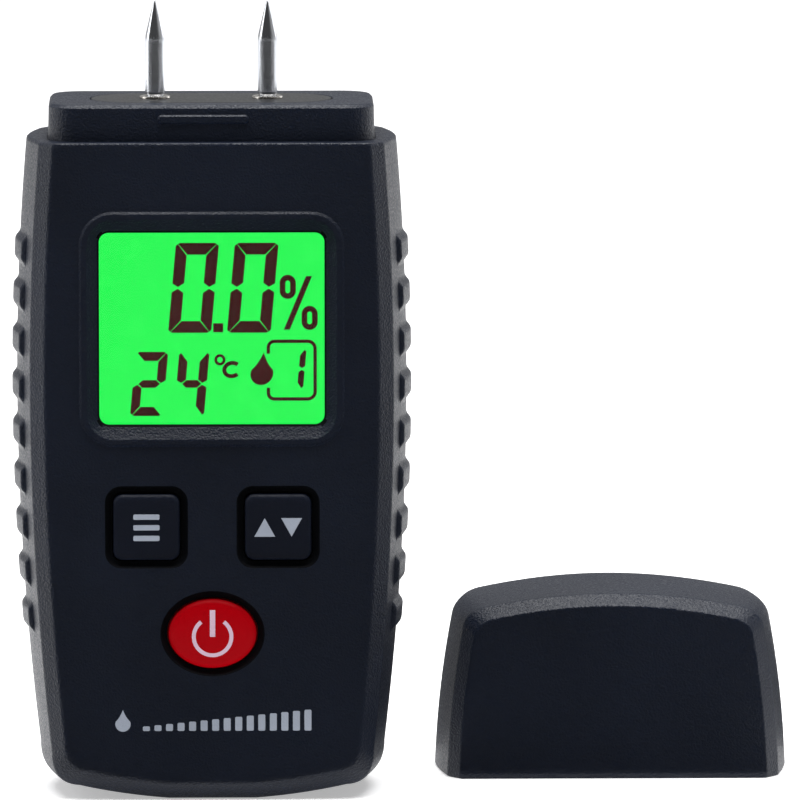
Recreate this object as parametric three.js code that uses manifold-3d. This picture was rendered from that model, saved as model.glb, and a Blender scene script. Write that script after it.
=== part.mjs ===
// Pin-type moisture meter standing upright, with its protective cap standing beside it.
// Millimetres. +X is the user's right, +Y goes from the display to the back, +Z is up.
// The origin is the middle of the flat foot. The casing is widest at Y = 0.

import * as THREE from 'three';
import { mergeVertices } from 'three/addons/utils/BufferGeometryUtils.js';
import Module from 'manifold-3d';

const wasm = await Module();
wasm.setup();

// ---------------------------------------------------------------- driving dimensions

const FRONT_Y = -13.5; // front panel plane
const BACK_Y = 13.5; // back face plane
const SHOULDER_Z = 98.7; // ledge that the cap stops on
const HALF_WIDTH = 29.2; // casing at its widest, without the grip ribs
const WIDEST_Z = 62;
const LOWER_RADIUS = 458; // bow of the sides below the widest height
const UPPER_RADIUS = 417;
const BOTTOM_RADIUS = 104; // bow of the bottom
const FOOT_HALF = 7; // flat part of the bottom
const WALL = 1.8;
const PARTING_Y = 1; // plane where the two shells meet
const FRONT_EDGE_Y = PARTING_Y - 0.1; // the shells leave a fine seam
const REAR_EDGE_Y = PARTING_Y + 0.1;
const PANEL_INNER_Y = -11.5; // inner face of the front wall
const BACK_INNER_Y = 11.3; // inner face of the back wall

const RIB_COUNT = 9;
const RIB_PITCH = 6.9;
const RIB_FIRST_Z = 26.8;
const RIB_HALF = 2.7;
const RIB_HEIGHT = 0.8;
const RIB_FRONT_Y = -7;
const RIB_BACK_Y = 8.5;

const SEAT_DEPTH = 0.3; // the head stands in a shallow seat in the shoulder
const HEAD = { halfX: 24.3, halfY: 11.2, z0: SHOULDER_Z - 0.25, z1: 104.1, corner: 4.5 };
const SNAP_X = -1.2; // bar that the cap snaps over
const PIN_X = 8.4; // each pin from the middle
const PIN_RADIUS = 1.48;
const PIN_STUD_RADIUS = 1.3;
const PIN_SHOULDER_Z = 104.85;
const PIN_TAPER_Z = 113.2;
const PIN_TIP_Z = 118.7;

const DISPLAY = { z: 70.9, outerW: 38.4, outerH: 35.1, viewW: 33.9, viewH: 29.2, proud: 0.35 };
const KEY = { x: 9.8, z: 41.25, size: 9.9, well: 12.4, top: -13.9 };
const POWER = { z: 25.2, halfX: 6.65, halfZ: 5.3, wellX: 8.2, wellZ: 6.9, top: -14.2 };
const KEY_GAP = 0.25; // around a key in its hole

const BOARD = { y0: -6, y1: -4.4, halfX: 21.5, z0: 7, z1: 91 };
const CASE_SCREWS = [
  { x: -20.5, z: 9 },
  { x: 20.5, z: 9 },
  { x: -21.5, z: 91.9 },
  { x: 21.5, z: 91.9 },
];
const BOSS_RADIUS = 2.4;
const BOARD_SCREWS = [
  { x: -13, z: 10.5 },
  { x: 13, z: 10.5 },
  { x: -18.8, z: 49.2 },
  { x: 18.8, z: 49.2 },
];

const CELL = { x: 5.5, y: 5.7, radius: 5.25, length: 43.7, nub: 0.8 };
const BAY = { halfX: 12, z0: 10, z1: 61, y0: 0.2 }; // battery compartment
const BAY_WALL = 1.2;
const DOOR = { halfX: 13.3, z1: 62.6, y0: 11.3, hingeY: 12.4, hingeZ: 9.9, radius: 1.1 };
const CLEAR = 0.3; // around the battery door

const CAP = { x: 60.6, y: 18.5, halfWidth: 26.8, peak: 28, wall: 1.4, cornerZ: 23.7 };

// ---------------------------------------------------------------- finishes

const finish = (color, roughness, metalness = 0) =>
  new THREE.MeshStandardMaterial({ color, roughness, metalness });

const FINISH = {
  casing: finish('#17191f', 0.62),
  key: finish('#14161c', 0.55),
  powerKey: finish('#b80612', 0.4),
  steel: finish('#c9ccd1', 0.22, 1),
  nickel: finish('#d8d9d6', 0.25, 1),
  window: finish('#dfe9e4', 0.08),
  glass: finish('#2bff5a', 0.15),
  lightGuide: finish('#bfffcf', 0.35),
  whitePlastic: finish('#e6e6e2', 0.5),
  elastomer: finish('#c9c4bd', 0.7),
  board: finish('#14532e', 0.45),
  chip: finish('#121214', 0.4),
  copper: finish('#b87333', 0.35, 1),
  cellWrap: finish('#4b5058', 0.35, 0.4),
  redWire: finish('#a81c18', 0.5),
  blackWire: finish('#1b1b1d', 0.5),
  label: finish('#8f949b', 0.5),
};

const meter = new THREE.Group();

function addPart(name, geometry, material, parent = meter) {
  const mesh = new THREE.Mesh(geometry, material);
  mesh.name = name;
  parent.add(mesh);
  return mesh;
}

// ---------------------------------------------------------------- solids

function toSolid(geometry) {
  const bare = geometry.index ? geometry.toNonIndexed() : geometry.clone();
  bare.deleteAttribute('normal');
  bare.deleteAttribute('uv');
  const merged = mergeVertices(bare, 1e-4);
  const mesh = new wasm.Mesh({
    numProp: 3,
    vertProperties: new Float32Array(merged.attributes.position.array),
    triVerts: new Uint32Array(merged.index.array),
  });
  return new wasm.Manifold(mesh);
}

function toGeometry(solid) {
  const mesh = solid.getMesh();
  const geometry = new THREE.BufferGeometry();
  geometry.setAttribute('position', new THREE.BufferAttribute(mesh.vertProperties, 3));
  geometry.setIndex(new THREE.BufferAttribute(mesh.triVerts, 1));
  geometry.computeVertexNormals();
  return geometry;
}

// Joins the first list and cuts the second list from it.
function carve(joined, cut = []) {
  let solid = toSolid(joined[0]);
  for (const piece of joined.slice(1)) solid = solid.add(toSolid(piece));
  for (const piece of cut) solid = solid.subtract(toSolid(piece));
  return toGeometry(solid);
}

// ---------------------------------------------------------------- basic shapes

// Box between two corners.
function block(x0, x1, y0, y1, z0, z1) {
  const geometry = new THREE.BoxGeometry(x1 - x0, y1 - y0, z1 - z0);
  return geometry.translate((x0 + x1) / 2, (y0 + y1) / 2, (z0 + z1) / 2);
}

// Round bar along Y.
function rodY(radius, x, z, y0, y1, sides = 16) {
  const geometry = new THREE.CylinderGeometry(radius, radius, y1 - y0, sides);
  return geometry.translate(x, (y0 + y1) / 2, z);
}

// Round bar along Z.
function rodZ(radius, x, y, z0, z1, sides = 20) {
  const geometry = new THREE.CylinderGeometry(radius, radius, z1 - z0, sides).rotateX(Math.PI / 2);
  return geometry.translate(x, y, (z0 + z1) / 2);
}

// Round bar along X.
function rodX(radius, y, z, x0, x1, sides = 16) {
  const geometry = new THREE.CylinderGeometry(radius, radius, x1 - x0, sides).rotateZ(Math.PI / 2);
  return geometry.translate((x0 + x1) / 2, y, z);
}

function roundedOutline(width, height, corner, cx = 0, cy = 0, arcSteps = 4) {
  const points = [];
  const quarters = [[1, 1], [-1, 1], [-1, -1], [1, -1]];
  quarters.forEach(([sx, sy], quarter) => {
    for (let i = 0; i <= arcSteps; i += 1) {
      const angle = ((quarter + i / arcSteps) * Math.PI) / 2;
      const x = cx + sx * (width / 2 - corner) + corner * Math.cos(angle);
      const y = cy + sy * (height / 2 - corner) + corner * Math.sin(angle);
      points.push(new THREE.Vector2(x, y));
    }
  });
  return points;
}

function ellipseOutline(halfX, halfY, cx, cy, steps = 36) {
  return new THREE.EllipseCurve(cx, cy, halfX, halfY).getPoints(steps).slice(0, steps);
}

// Stretches an outline through stations. A station holds its place along the axis and an affine
// change of the outline: u is scaled by su and moved by tu, v is scaled by sv and moved by tv.
function loft(outline, stations, place) {
  const last = stations.length - 1;
  const shape = new THREE.Shape(outline);
  const settings = { depth: last, steps: last, bevelEnabled: false };
  const geometry = new THREE.ExtrudeGeometry(shape, settings);
  const position = geometry.attributes.position;
  for (let i = 0; i < position.count; i += 1) {
    place(position, i, stations, Math.round(position.getZ(i)));
  }
  return geometry;
}

function stretched(position, i, station) {
  const u = position.getX(i) * (station.su ?? 1) + (station.tu ?? 0);
  const v = position.getY(i) * (station.sv ?? 1) + (station.tv ?? 0);
  return [u, v];
}

// Outline in X and Z, stations front to back along Y.
function loftY(outline, stations) {
  return loft(outline, stations, (position, i, list, layer) => {
    const station = list[list.length - 1 - layer];
    const [x, z] = stretched(position, i, station);
    position.setXYZ(i, x, station.at, z);
  });
}

// Outline in X and Y, stations upwards along Z.
function loftZ(outline, stations) {
  return loft(outline, stations, (position, i, list, layer) => {
    const station = list[layer];
    const [x, y] = stretched(position, i, station);
    position.setXYZ(i, x, y, station.at);
  });
}

// Straight-sided plate in X and Z.
const plateY = (outline, y0, y1) => loftY(outline, [{ at: y0 }, { at: y1 }]);
const plateZ = (outline, z0, z1) => loftZ(outline, [{ at: z0 }, { at: z1 }]);

// A station that shrinks an outline about a centre.
function shrink(at, scaleU, scaleV, centreU, centreV) {
  return {
    at,
    su: scaleU,
    sv: scaleV,
    tu: centreU * (1 - scaleU),
    tv: centreV * (1 - scaleV),
  };
}

// Turned solid about a vertical axis; the profile runs from the axis back to the axis.
function turnedZ(profile, x, y, sides = 20) {
  const points = profile.map(([radius, z]) => new THREE.Vector2(radius, z));
  return new THREE.LatheGeometry(points, sides).rotateX(Math.PI / 2).translate(x, y, 0);
}

// Wire of round section along a smooth path.
function wire(points, radius, steps, sides = 8) {
  const section = new THREE.Shape(ellipseOutline(radius, radius, 0, 0, sides));
  const path = new THREE.CatmullRomCurve3(points.map((point) => new THREE.Vector3(...point)));
  return new THREE.ExtrudeGeometry(section, { steps, bevelEnabled: false, extrudePath: path });
}

// ---------------------------------------------------------------- casing outline and draft

const bowRadius = (z) => (z < WIDEST_Z ? LOWER_RADIUS : UPPER_RADIUS);
const sideAt = (z) => HALF_WIDTH - (z - WIDEST_Z) ** 2 / (2 * bowRadius(z));
const bottomAt = (x) => Math.max(0, (x * x - FOOT_HALF * FOOT_HALF) / (2 * BOTTOM_RADIUS));

// Height of the grip ribs over the side; between ribs it is just under the surface.
function ribAt(z) {
  const nearest = Math.round((z - RIB_FIRST_Z) / RIB_PITCH);
  const index = Math.min(Math.max(nearest, 0), RIB_COUNT - 1);
  const off = Math.abs(z - (RIB_FIRST_Z + index * RIB_PITCH)) / RIB_HALF;
  return Math.max(RIB_HEIGHT * (1 - off * off), -0.06);
}

function mirrorOutline(right) {
  const left = right.map((point) => new THREE.Vector2(-point.x, point.y)).reverse();
  return right.concat(left);
}

const CORNER = { sideZ: 7, bottomX: 21.5, x: 26, z: 2.2 };

function casingOutline() {
  const right = [];
  const bottomSteps = 6;
  for (let i = 0; i <= bottomSteps; i += 1) {
    const x = THREE.MathUtils.lerp(FOOT_HALF, CORNER.bottomX, i / bottomSteps);
    right.push(new THREE.Vector2(x, bottomAt(x)));
  }
  const bend = new THREE.QuadraticBezierCurve(
    right[bottomSteps],
    new THREE.Vector2(CORNER.x, CORNER.z),
    new THREE.Vector2(sideAt(CORNER.sideZ), CORNER.sideZ),
  );
  right.push(...bend.getPoints(5).slice(1));
  const sideSteps = 8;
  for (let i = 1; i <= sideSteps; i += 1) {
    const z = THREE.MathUtils.lerp(CORNER.sideZ, SHOULDER_Z, i / sideSteps);
    right.push(new THREE.Vector2(sideAt(z), z));
  }
  return mirrorOutline(right);
}

// Band of the casing that carries the ribs, just inside the plain sides elsewhere.
function gripOutline() {
  const right = [];
  const first = RIB_FIRST_Z - RIB_PITCH / 2;
  const perRib = 4;
  const slices = RIB_COUNT * perRib;
  for (let i = 0; i <= slices; i += 1) {
    const z = first + (i / perRib) * RIB_PITCH;
    right.push(new THREE.Vector2(sideAt(z) + ribAt(z), z));
  }
  return mirrorOutline(right);
}

// Depth, how far the sides are pulled in, how far the bottom is lifted.
const DRAFT = [
  [FRONT_Y, 4.4, 2.7],
  [-11.2, 2.1, 0],
  [-5.5, 0.75, 0],
  [0, 0, 0],
  [5, 0.45, 0],
  [9.5, 1.6, 0],
  [12, 3.3, 1.4],
  [BACK_Y, 6.2, 4.2],
];

function draftAt(y) {
  const upper = DRAFT.findIndex(([depth]) => depth >= y);
  const [y1, side1, end1] = DRAFT[upper];
  const [y0, side0, end0] = DRAFT[Math.max(upper - 1, 0)];
  const share = y1 > y0 ? (y - y0) / (y1 - y0) : 0;
  const side = THREE.MathUtils.lerp(side0, side1, share);
  const end = THREE.MathUtils.lerp(end0, end1, share);
  return { side, end };
}

function casingStation(y, wall = 0) {
  const { side, end } = draftAt(y);
  return {
    at: y,
    su: (HALF_WIDTH - side - wall) / HALF_WIDTH,
    sv: (SHOULDER_Z - end - 2 * wall) / SHOULDER_Z,
    tv: end + wall,
  };
}

const casingLoft = (depths, wall = 0) =>
  loftY(casingOutline(), depths.map((y) => casingStation(y, wall)));
const gripLoft = (depths) => loftY(gripOutline(), depths.map((y) => casingStation(y)));

// ---------------------------------------------------------------- openings shared by the shells

const headSlot = () => block(-22.3, 22.3, -8.8, 8.8, SHOULDER_Z - 4, SHOULDER_Z + 1);
const headSeat = () =>
  plateZ(
    roundedOutline(2 * HEAD.halfX + 0.3, 2 * HEAD.halfY + 0.3, HEAD.corner + 0.15),
    SHOULDER_Z - SEAT_DEPTH,
    SHOULDER_Z + 1,
  );

function displayRecess() {
  const width = DISPLAY.outerW - 2.4;
  const height = DISPLAY.outerH - 2.4;
  const outline = roundedOutline(width, height, 2.8, 0, DISPLAY.z);
  const scaleX = DISPLAY.viewW / width;
  const scaleZ = DISPLAY.viewH / height;
  return loftY(outline, [
    { at: FRONT_Y - DISPLAY.proud - 0.1 },
    shrink(-12.6, scaleX, scaleZ, 0, DISPLAY.z),
    shrink(PANEL_INNER_Y + 1, scaleX, scaleZ, 0, DISPLAY.z),
  ]);
}

const keyOutline = (x, size, corner) => roundedOutline(size, size, corner, x, KEY.z);
const powerOutline = (halfX, halfZ) => ellipseOutline(halfX, halfZ, 0, POWER.z);

// ---------------------------------------------------------------- front shell

function frontShell() {
  const depths = [FRONT_Y, -11.2, -5.5, FRONT_EDGE_Y];
  const cavity = [PANEL_INNER_Y, -5.5, 2];
  const joined = [
    casingLoft(depths),
    gripLoft([RIB_FRONT_Y, -5.5, FRONT_EDGE_Y]),
    plateY(
      roundedOutline(DISPLAY.outerW, DISPLAY.outerH, 4, 0, DISPLAY.z, 6),
      FRONT_Y - DISPLAY.proud,
      FRONT_Y + 0.5,
    ),
  ];
  const windowPocket = roundedOutline(36.1, 31.4, 1, 0, DISPLAY.z);
  const cut = [
    casingLoft(cavity, WALL),
    headSlot(),
    headSeat(),
    displayRecess(),
    plateY(windowPocket, -12.1, PANEL_INNER_Y + 1),
    plateY(powerOutline(POWER.wellX, POWER.wellZ), FRONT_Y - 1, FRONT_Y + 0.7),
    plateY(
      powerOutline(POWER.halfX + KEY_GAP, POWER.halfZ + KEY_GAP),
      FRONT_Y - 1,
      PANEL_INNER_Y + 1,
    ),
  ];
  for (const side of [-1, 1]) {
    const x = side * KEY.x;
    cut.push(plateY(keyOutline(x, KEY.well, 2.3), FRONT_Y - 1, FRONT_Y + 0.7));
    cut.push(plateY(keyOutline(x, KEY.size + 2 * KEY_GAP, 1.5), FRONT_Y - 1, PANEL_INNER_Y + 1));
  }
  let solid = toSolid(carve(joined, cut));
  for (const { x, z } of CASE_SCREWS) {
    solid = solid.add(toSolid(rodY(BOSS_RADIUS, x, z, PANEL_INNER_Y - 0.5, FRONT_EDGE_Y)));
    solid = solid.subtract(toSolid(rodY(1, x, z, -8.2, 2, 8)));
  }
  for (const { x, z } of BOARD_SCREWS) {
    solid = solid.add(toSolid(rodY(2, x, z, PANEL_INNER_Y - 0.5, BOARD.y0 - 0.1)));
    solid = solid.subtract(toSolid(rodY(0.9, x, z, -9.2, 1, 8)));
  }
  return toGeometry(solid);
}

// ---------------------------------------------------------------- rear shell and battery door

function rearShell() {
  const joined = [
    casingLoft([REAR_EDGE_Y, 5, 9.5, 12, BACK_Y]),
    gripLoft([REAR_EDGE_Y, 5, RIB_BACK_Y]),
  ];
  const hollow = casingLoft([0, 5, 9.5, BACK_INNER_Y], WALL);
  let solid = toSolid(carve(joined, [hollow, headSlot(), headSeat()]));
  const bayTop = BAY.z1 + BAY_WALL;
  const bayBottom = BAY.z0 - BAY_WALL;
  const bayX = BAY.halfX + BAY_WALL;
  const hingePad = DOOR.halfX + CLEAR + 2;
  const added = [
    block(-bayX, bayX, BAY.y0 - BAY_WALL, BACK_INNER_Y + 0.5, bayBottom, bayTop),
    block(-hingePad, hingePad, 10.4, BACK_INNER_Y + 0.5, 8.4, 11.6),
  ];
  const cut = [
    block(-BAY.halfX, BAY.halfX, BAY.y0, BACK_Y + 1, BAY.z0, BAY.z1),
    plateY(
      roundedOutline(2 * (DOOR.halfX + CLEAR), DOOR.z1 - 8.4 + CLEAR, 1, 0, (DOOR.z1 + 8.4 + CLEAR) / 2),
      DOOR.y0 - 0.15,
      BACK_Y + 1,
    ),
    rodX(0.75, DOOR.hingeY, DOOR.hingeZ, -DOOR.halfX - 1.5, DOOR.halfX + 1.5),
    block(-6, 6, DOOR.y0 + 0.3, BACK_Y + 1, DOOR.z1, DOOR.z1 + 2.6),
    plateY(roundedOutline(34.5, 16.5, 1.2, 0, 79), BACK_Y - 0.3, BACK_Y + 1),
  ];
  for (const { x, z } of CASE_SCREWS) {
    added.push(rodY(BOSS_RADIUS, x, z, REAR_EDGE_Y, BACK_INNER_Y + 0.5));
    cut.push(rodY(1.3, x, z, -1, BACK_Y + 1, 8));
    cut.push(rodY(2.1, x, z, 9.6, BACK_Y + 1, 16));
  }
  for (const piece of added) solid = solid.add(toSolid(piece));
  for (const piece of cut) solid = solid.subtract(toSolid(piece));
  return toGeometry(solid);
}

function batteryDoor() {
  const { halfX, z1, y0, hingeY, hingeZ, radius } = DOOR;
  const latchGrip = [-0.9, 0, 0.9].map((step) =>
    block(-4, 4, BACK_Y - 0.4, BACK_Y + 0.5, z1 - 4 + step * 1.6, z1 - 3.4 + step * 1.6),
  );
  return carve(
    [
      block(-halfX, halfX, y0, BACK_Y, hingeZ, z1),
      rodX(radius, hingeY, hingeZ, -halfX, halfX, 20),
      rodX(0.5, hingeY, hingeZ, -halfX - 1.2, halfX + 1.2),
      block(-5.6, 5.6, y0 + 0.7, BACK_Y - 0.5, z1 - 1, z1 + 1.6),
    ],
    latchGrip,
  );
}

// ---------------------------------------------------------------- head, pins and their fastenings

function headBlock() {
  const { halfX, halfY, z0, z1, corner } = HEAD;
  const outline = roundedOutline(2 * halfX, 2 * halfY, corner, 0, 0, 6);
  const plug = loftZ(outline, [
    { at: z0 },
    shrink(z1 - 0.4, 0.99, 0.985, 0, 0),
    shrink(z1, 0.98, 0.965, 0, 0),
  ]);
  const bar = plateY(roundedOutline(13.6, 1.4, 0.69, SNAP_X, 102), -halfY - 0.3, -halfY + 1);
  const neck = block(-22, 22, -8.5, 8.5, 96.2, z0 + 0.5);
  const flange = plateZ(roundedOutline(47.2, 18.6, 2), 94.5, 96.6);
  const pocket = plateZ(roundedOutline(36.3, 14.3, 7.1), 102.1, z1 + 1);
  const studHoles = [-1, 1].map((side) => rodZ(1.55, side * PIN_X, 0, 90, z1 + 1));
  const hollow = block(-19, 19, -6, 6, 90, 99.5);
  const bridge = block(-13, 13, -6.5, 6.5, 94.5, 102);
  let solid = toSolid(carve([plug, bar, neck, flange], [pocket, hollow]));
  solid = solid.add(toSolid(bridge));
  for (const hole of studHoles) solid = solid.subtract(toSolid(hole));
  return toGeometry(solid);
}

function pinHolder() {
  const body = plateZ(roundedOutline(36, 14, 6.95, 0, 0, 6), 102.15, HEAD.z1);
  const holes = [-1, 1].map((side) => rodZ(2.05, side * PIN_X, 0, 101, HEAD.z1 + 1));
  return carve([body], holes);
}

function ferrule(x) {
  const flange = rodZ(2.4, x, 0, HEAD.z1 + 0.03, HEAD.z1 + 0.36, 24);
  const barrel = rodZ(1.9, x, 0, 102.2, HEAD.z1 + 0.2);
  return carve([flange, barrel], [rodZ(1.42, x, 0, 101, HEAD.z1 + 1)]);
}

function pin(x) {
  const profile = [
    [0, 91.4],
    [PIN_STUD_RADIUS - 0.2, 91.4],
    [PIN_STUD_RADIUS, 91.7],
    [PIN_STUD_RADIUS, PIN_SHOULDER_Z - 0.2],
    [PIN_RADIUS - 0.1, PIN_SHOULDER_Z - 0.2],
    [PIN_RADIUS, PIN_SHOULDER_Z],
    [PIN_RADIUS, PIN_TAPER_Z],
    [PIN_RADIUS * 0.9, PIN_TAPER_Z + 0.5],
    [0.12, PIN_TIP_Z - 0.06],
    [0, PIN_TIP_Z],
  ];
  return turnedZ(profile, x, 0, 20);
}

function pinNut(x) {
  const hexagon = new THREE.CylinderGeometry(2.75, 2.75, 1.8, 6).rotateX(Math.PI / 2);
  return carve([hexagon.translate(x, 0, 92.9)], [rodZ(1.4, x, 0, 90, 95)]);
}

function pinLug(x) {
  const tail = block(x - 1, x + 1, -5.5, -2, 93.95, 94.35);
  return carve([rodZ(2.8, x, 0, 93.95, 94.35), tail], [rodZ(1.45, x, 0, 93, 95)]);
}

function pinLead(x) {
  const route = [
    [x, -5, 93.2],
    [x, -4.3, 92.4],
    [x * 0.98, -2.9, 90.8],
    [x * 0.94, -2.7, 88.4],
    [x * 0.9, -3, 86.7],
    [x * 0.9, -3.75, 86.3],
  ];
  return wire(route, 0.55, 12, 6);
}

// ---------------------------------------------------------------- display stack and board

const displayPlate = (width, height, z, y0, y1, corner = 0.6) =>
  plateY(roundedOutline(width, height, corner, 0, z, 3), y0, y1);

function displayFrame() {
  const { z } = DISPLAY;
  return carve(
    [displayPlate(40.4, 37, z, -11.35, -6.15, 1)],
    [
      displayPlate(37.6, 34.2, z, -12, -8.9),
      displayPlate(35.4, 30, z + 2, -12, -6.9),
      block(-17.3, 17.3, -12, -5, z - 16.9, z - 14.3),
      displayPlate(30, 24, z + 2, -8, -5),
    ],
  );
}

function circuitBoard() {
  const { y0, y1, halfX, z0, z1 } = BOARD;
  const notches = [-1, 1].flatMap((side) => [
    block(side * 19.7 - 2.3, side * 19.7 + 2.3, y0 - 1, y1 + 1, z0 - 1, 12.3),
    block(side * 20.8 - 2.4, side * 20.8 + 2.4, y0 - 1, y1 + 1, 88.9, z1 + 1),
  ]);
  const holes = BOARD_SCREWS.map(({ x, z }) => rodY(1.2, x, z, y0 - 1, y1 + 1, 12));
  const body = plateY(roundedOutline(2 * halfX, z1 - z0, 1, 0, (z0 + z1) / 2, 3), y0, y1);
  return carve([body], notches.concat(holes));
}

function screw(x, z, headY, tipY, headRadius, shankRadius) {
  const head = rodY(headRadius, x, z, headY - 1.4, headY);
  const slotLength = headRadius * 1.15;
  const cross = [
    block(x - slotLength / 2, x + slotLength / 2, headY - 0.7, headY + 1, z - 0.22, z + 0.22),
    block(x - 0.22, x + 0.22, headY - 0.7, headY + 1, z - slotLength / 2, z + slotLength / 2),
  ];
  const shank = rodY(shankRadius, x, z, tipY, headY - 1.2, 8);
  return carve([head, shank], cross);
}

function keySwitch(x, z) {
  const body = block(x - 3, x + 3, -9.4, BOARD.y0 - 0.05, z - 3, z + 3);
  return carve([body], [rodY(1.85, x, z, -11, -7.3)]);
}

const keyPlunger = (x, z) => rodY(1.6, x, z, -10.45, -8.2);

function squareKey(x) {
  const outline = keyOutline(x, KEY.size, 1.3);
  const top = loftY(outline, [
    shrink(KEY.top, 0.93, 0.93, x, KEY.z),
    { at: KEY.top + 0.35 },
    { at: PANEL_INNER_Y + 0.6 },
  ]);
  const flange = plateY(keyOutline(x, 12.2, 1.5), PANEL_INNER_Y + 0.15, PANEL_INNER_Y + 1);
  return carve([top, flange]);
}

function powerKey() {
  const top = loftY(powerOutline(POWER.halfX, POWER.halfZ), [
    shrink(POWER.top, 0.8, 0.8, 0, POWER.z),
    shrink(POWER.top + 0.2, 0.93, 0.93, 0, POWER.z),
    { at: POWER.top + 0.7 },
    { at: PANEL_INNER_Y + 0.6 },
  ]);
  const flange = plateY(powerOutline(7.9, 6.5), PANEL_INNER_Y + 0.15, PANEL_INNER_Y + 1);
  return carve([top, flange]);
}

// ---------------------------------------------------------------- cells, contacts and leads

// A cell standing on z0; flipped puts its button end down.
function cell(x, z0, flipped) {
  const { radius, length, nub } = CELL;
  const profile = [
    [0, 0],
    [radius - 0.5, 0],
    [radius, 0.5],
    [radius, length - 0.5],
    [radius - 0.5, length],
    [1.9, length],
    [1.9, length + nub],
    [0, length + nub],
  ];
  const geometry = turnedZ(profile, 0, 0, 20);
  if (flipped) geometry.rotateX(Math.PI).translate(0, 0, length + nub);
  return geometry.translate(x, CELL.y, z0);
}

// Conical contact spring between two heights, wide end at z0.
function contactSpring(x, z0, z1) {
  const turns = 4;
  const perTurn = 8;
  const wireRadius = 0.25;
  const route = [];
  for (let i = 0; i <= turns * perTurn; i += 1) {
    const share = i / (turns * perTurn);
    const angle = share * turns * 2 * Math.PI;
    const radius = THREE.MathUtils.lerp(3.6, 1.8, share);
    const z = THREE.MathUtils.lerp(z0, z1, share);
    route.push([x + radius * Math.cos(angle), CELL.y + radius * Math.sin(angle), z]);
  }
  return wire(route, wireRadius, turns * perTurn, 5);
}

const contactPlate = (x0, x1, z0) => block(x0, x1, 1.2, 10.2, z0, z0 + 0.4);

function batteryLead(x, turn) {
  const route = [
    [x, 1, 8.2],
    [x, -0.6, 7.9],
    [x + turn, -1.9, 9],
    [x + turn * 1.6, -2.7, 12],
    [x + turn * 1.8, -3.75, 14],
  ];
  return wire(route, 0.55, 12, 6);
}

// ---------------------------------------------------------------- protective cap

const capSideAt = (z) => CAP.halfWidth - 0.03 * z - 0.0035 * z * z;
const capTopAt = (x) => CAP.peak - (x * x) / (2 * BOTTOM_RADIUS);

function capOutline() {
  const right = [];
  const sideSteps = 6;
  for (let i = 0; i <= sideSteps; i += 1) {
    const z = (i / sideSteps) * (CAP.cornerZ - 1);
    right.push(new THREE.Vector2(capSideAt(z), z));
  }
  const cornerX = 21;
  const bend = new THREE.QuadraticBezierCurve(
    right[sideSteps],
    new THREE.Vector2(capSideAt(CAP.cornerZ) - 0.1, CAP.cornerZ + 1.4),
    new THREE.Vector2(cornerX, capTopAt(cornerX)),
  );
  right.push(...bend.getPoints(5).slice(1));
  const topSteps = 6;
  for (let i = 1; i < topSteps; i += 1) {
    const x = cornerX * (1 - i / topSteps);
    right.push(new THREE.Vector2(x, capTopAt(x)));
  }
  const outline = mirrorOutline(right);
  outline.splice(right.length, 0, new THREE.Vector2(0, CAP.peak));
  return outline;
}

// The cap's sides follow the casing's draft. Its top slopes down at the front and a little at the
// back.
function capStation(y, wall = 0, drop = 0) {
  const { side, end } = draftAt(y);
  const pull = Math.min(side, 4.4) * 0.8;
  const slope = y < 0 ? 0.6 * end : 0.2 * end;
  return {
    at: y,
    su: (CAP.halfWidth - pull - wall) / CAP.halfWidth,
    sv: (CAP.peak - slope - wall + drop) / CAP.peak,
    tv: -drop,
  };
}

function cap() {
  const outer = [FRONT_Y, -11.2, -5.5, 0, 5, 9.5, 12, BACK_Y];
  const inner = [FRONT_Y + CAP.wall, -11.2, -5.5, 0, 5, 9.5, BACK_Y - CAP.wall];
  const shell = loftY(capOutline(), outer.map((y) => capStation(y)));
  const hollow = loftY(capOutline(), inner.map((y) => capStation(y, CAP.wall, 1)));
  const ridge = plateY(roundedOutline(12, 0.8, 0.35, SNAP_X, 2), FRONT_Y + CAP.wall - 0.3, -11.75);
  return toGeometry(toSolid(shell).subtract(toSolid(hollow)).add(toSolid(ridge)));
}

// ---------------------------------------------------------------- assembly

addPart('front_shell', frontShell(), FINISH.casing);
addPart('rear_shell', rearShell(), FINISH.casing);
addPart('head_block', headBlock(), FINISH.casing);
addPart('pin_holder', pinHolder(), FINISH.key);
addPart('battery_door', batteryDoor(), FINISH.casing);
addPart('rating_label', plateY(roundedOutline(34, 16, 1, 0, 79), BACK_Y - 0.28, BACK_Y - 0.03), FINISH.label);

for (const [side, name] of [[-1, 'left'], [1, 'right']]) {
  const x = side * PIN_X;
  addPart(`${name}_pin`, pin(x), FINISH.steel);
  addPart(`${name}_ferrule`, ferrule(x), FINISH.nickel);
  addPart(`${name}_pin_nut`, pinNut(x), FINISH.nickel);
  addPart(`${name}_pin_lug`, pinLug(x), FINISH.copper);
  addPart(`${name}_pin_lead`, pinLead(x), FINISH.redWire);
}

addPart('display_window', displayPlate(35.8, 31.1, DISPLAY.z, -12.05, -11.5, 0.9), FINISH.window);
addPart('display_glass', displayPlate(37, 33.8, DISPLAY.z, -11.3, -9.5), FINISH.glass);
addPart('backlight', displayPlate(35, 29.6, DISPLAY.z + 2, -9.4, -7), FINISH.lightGuide);
addPart(
  'display_connector',
  block(-16.8, 16.8, -9.4, BOARD.y0 - 0.05, DISPLAY.z - 16.7, DISPLAY.z - 14.6),
  FINISH.elastomer,
);
addPart('display_frame', displayFrame(), FINISH.whitePlastic);
addPart('circuit_board', circuitBoard(), FINISH.board);
addPart('control_chip', block(-6, 6, BOARD.y1 + 0.05, -3.1, 66, 78), FINISH.chip);
addPart('temperature_sensor', rodY(1.2, 17, 17, BOARD.y1 + 0.05, -2.4, 14), FINISH.chip);

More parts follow.
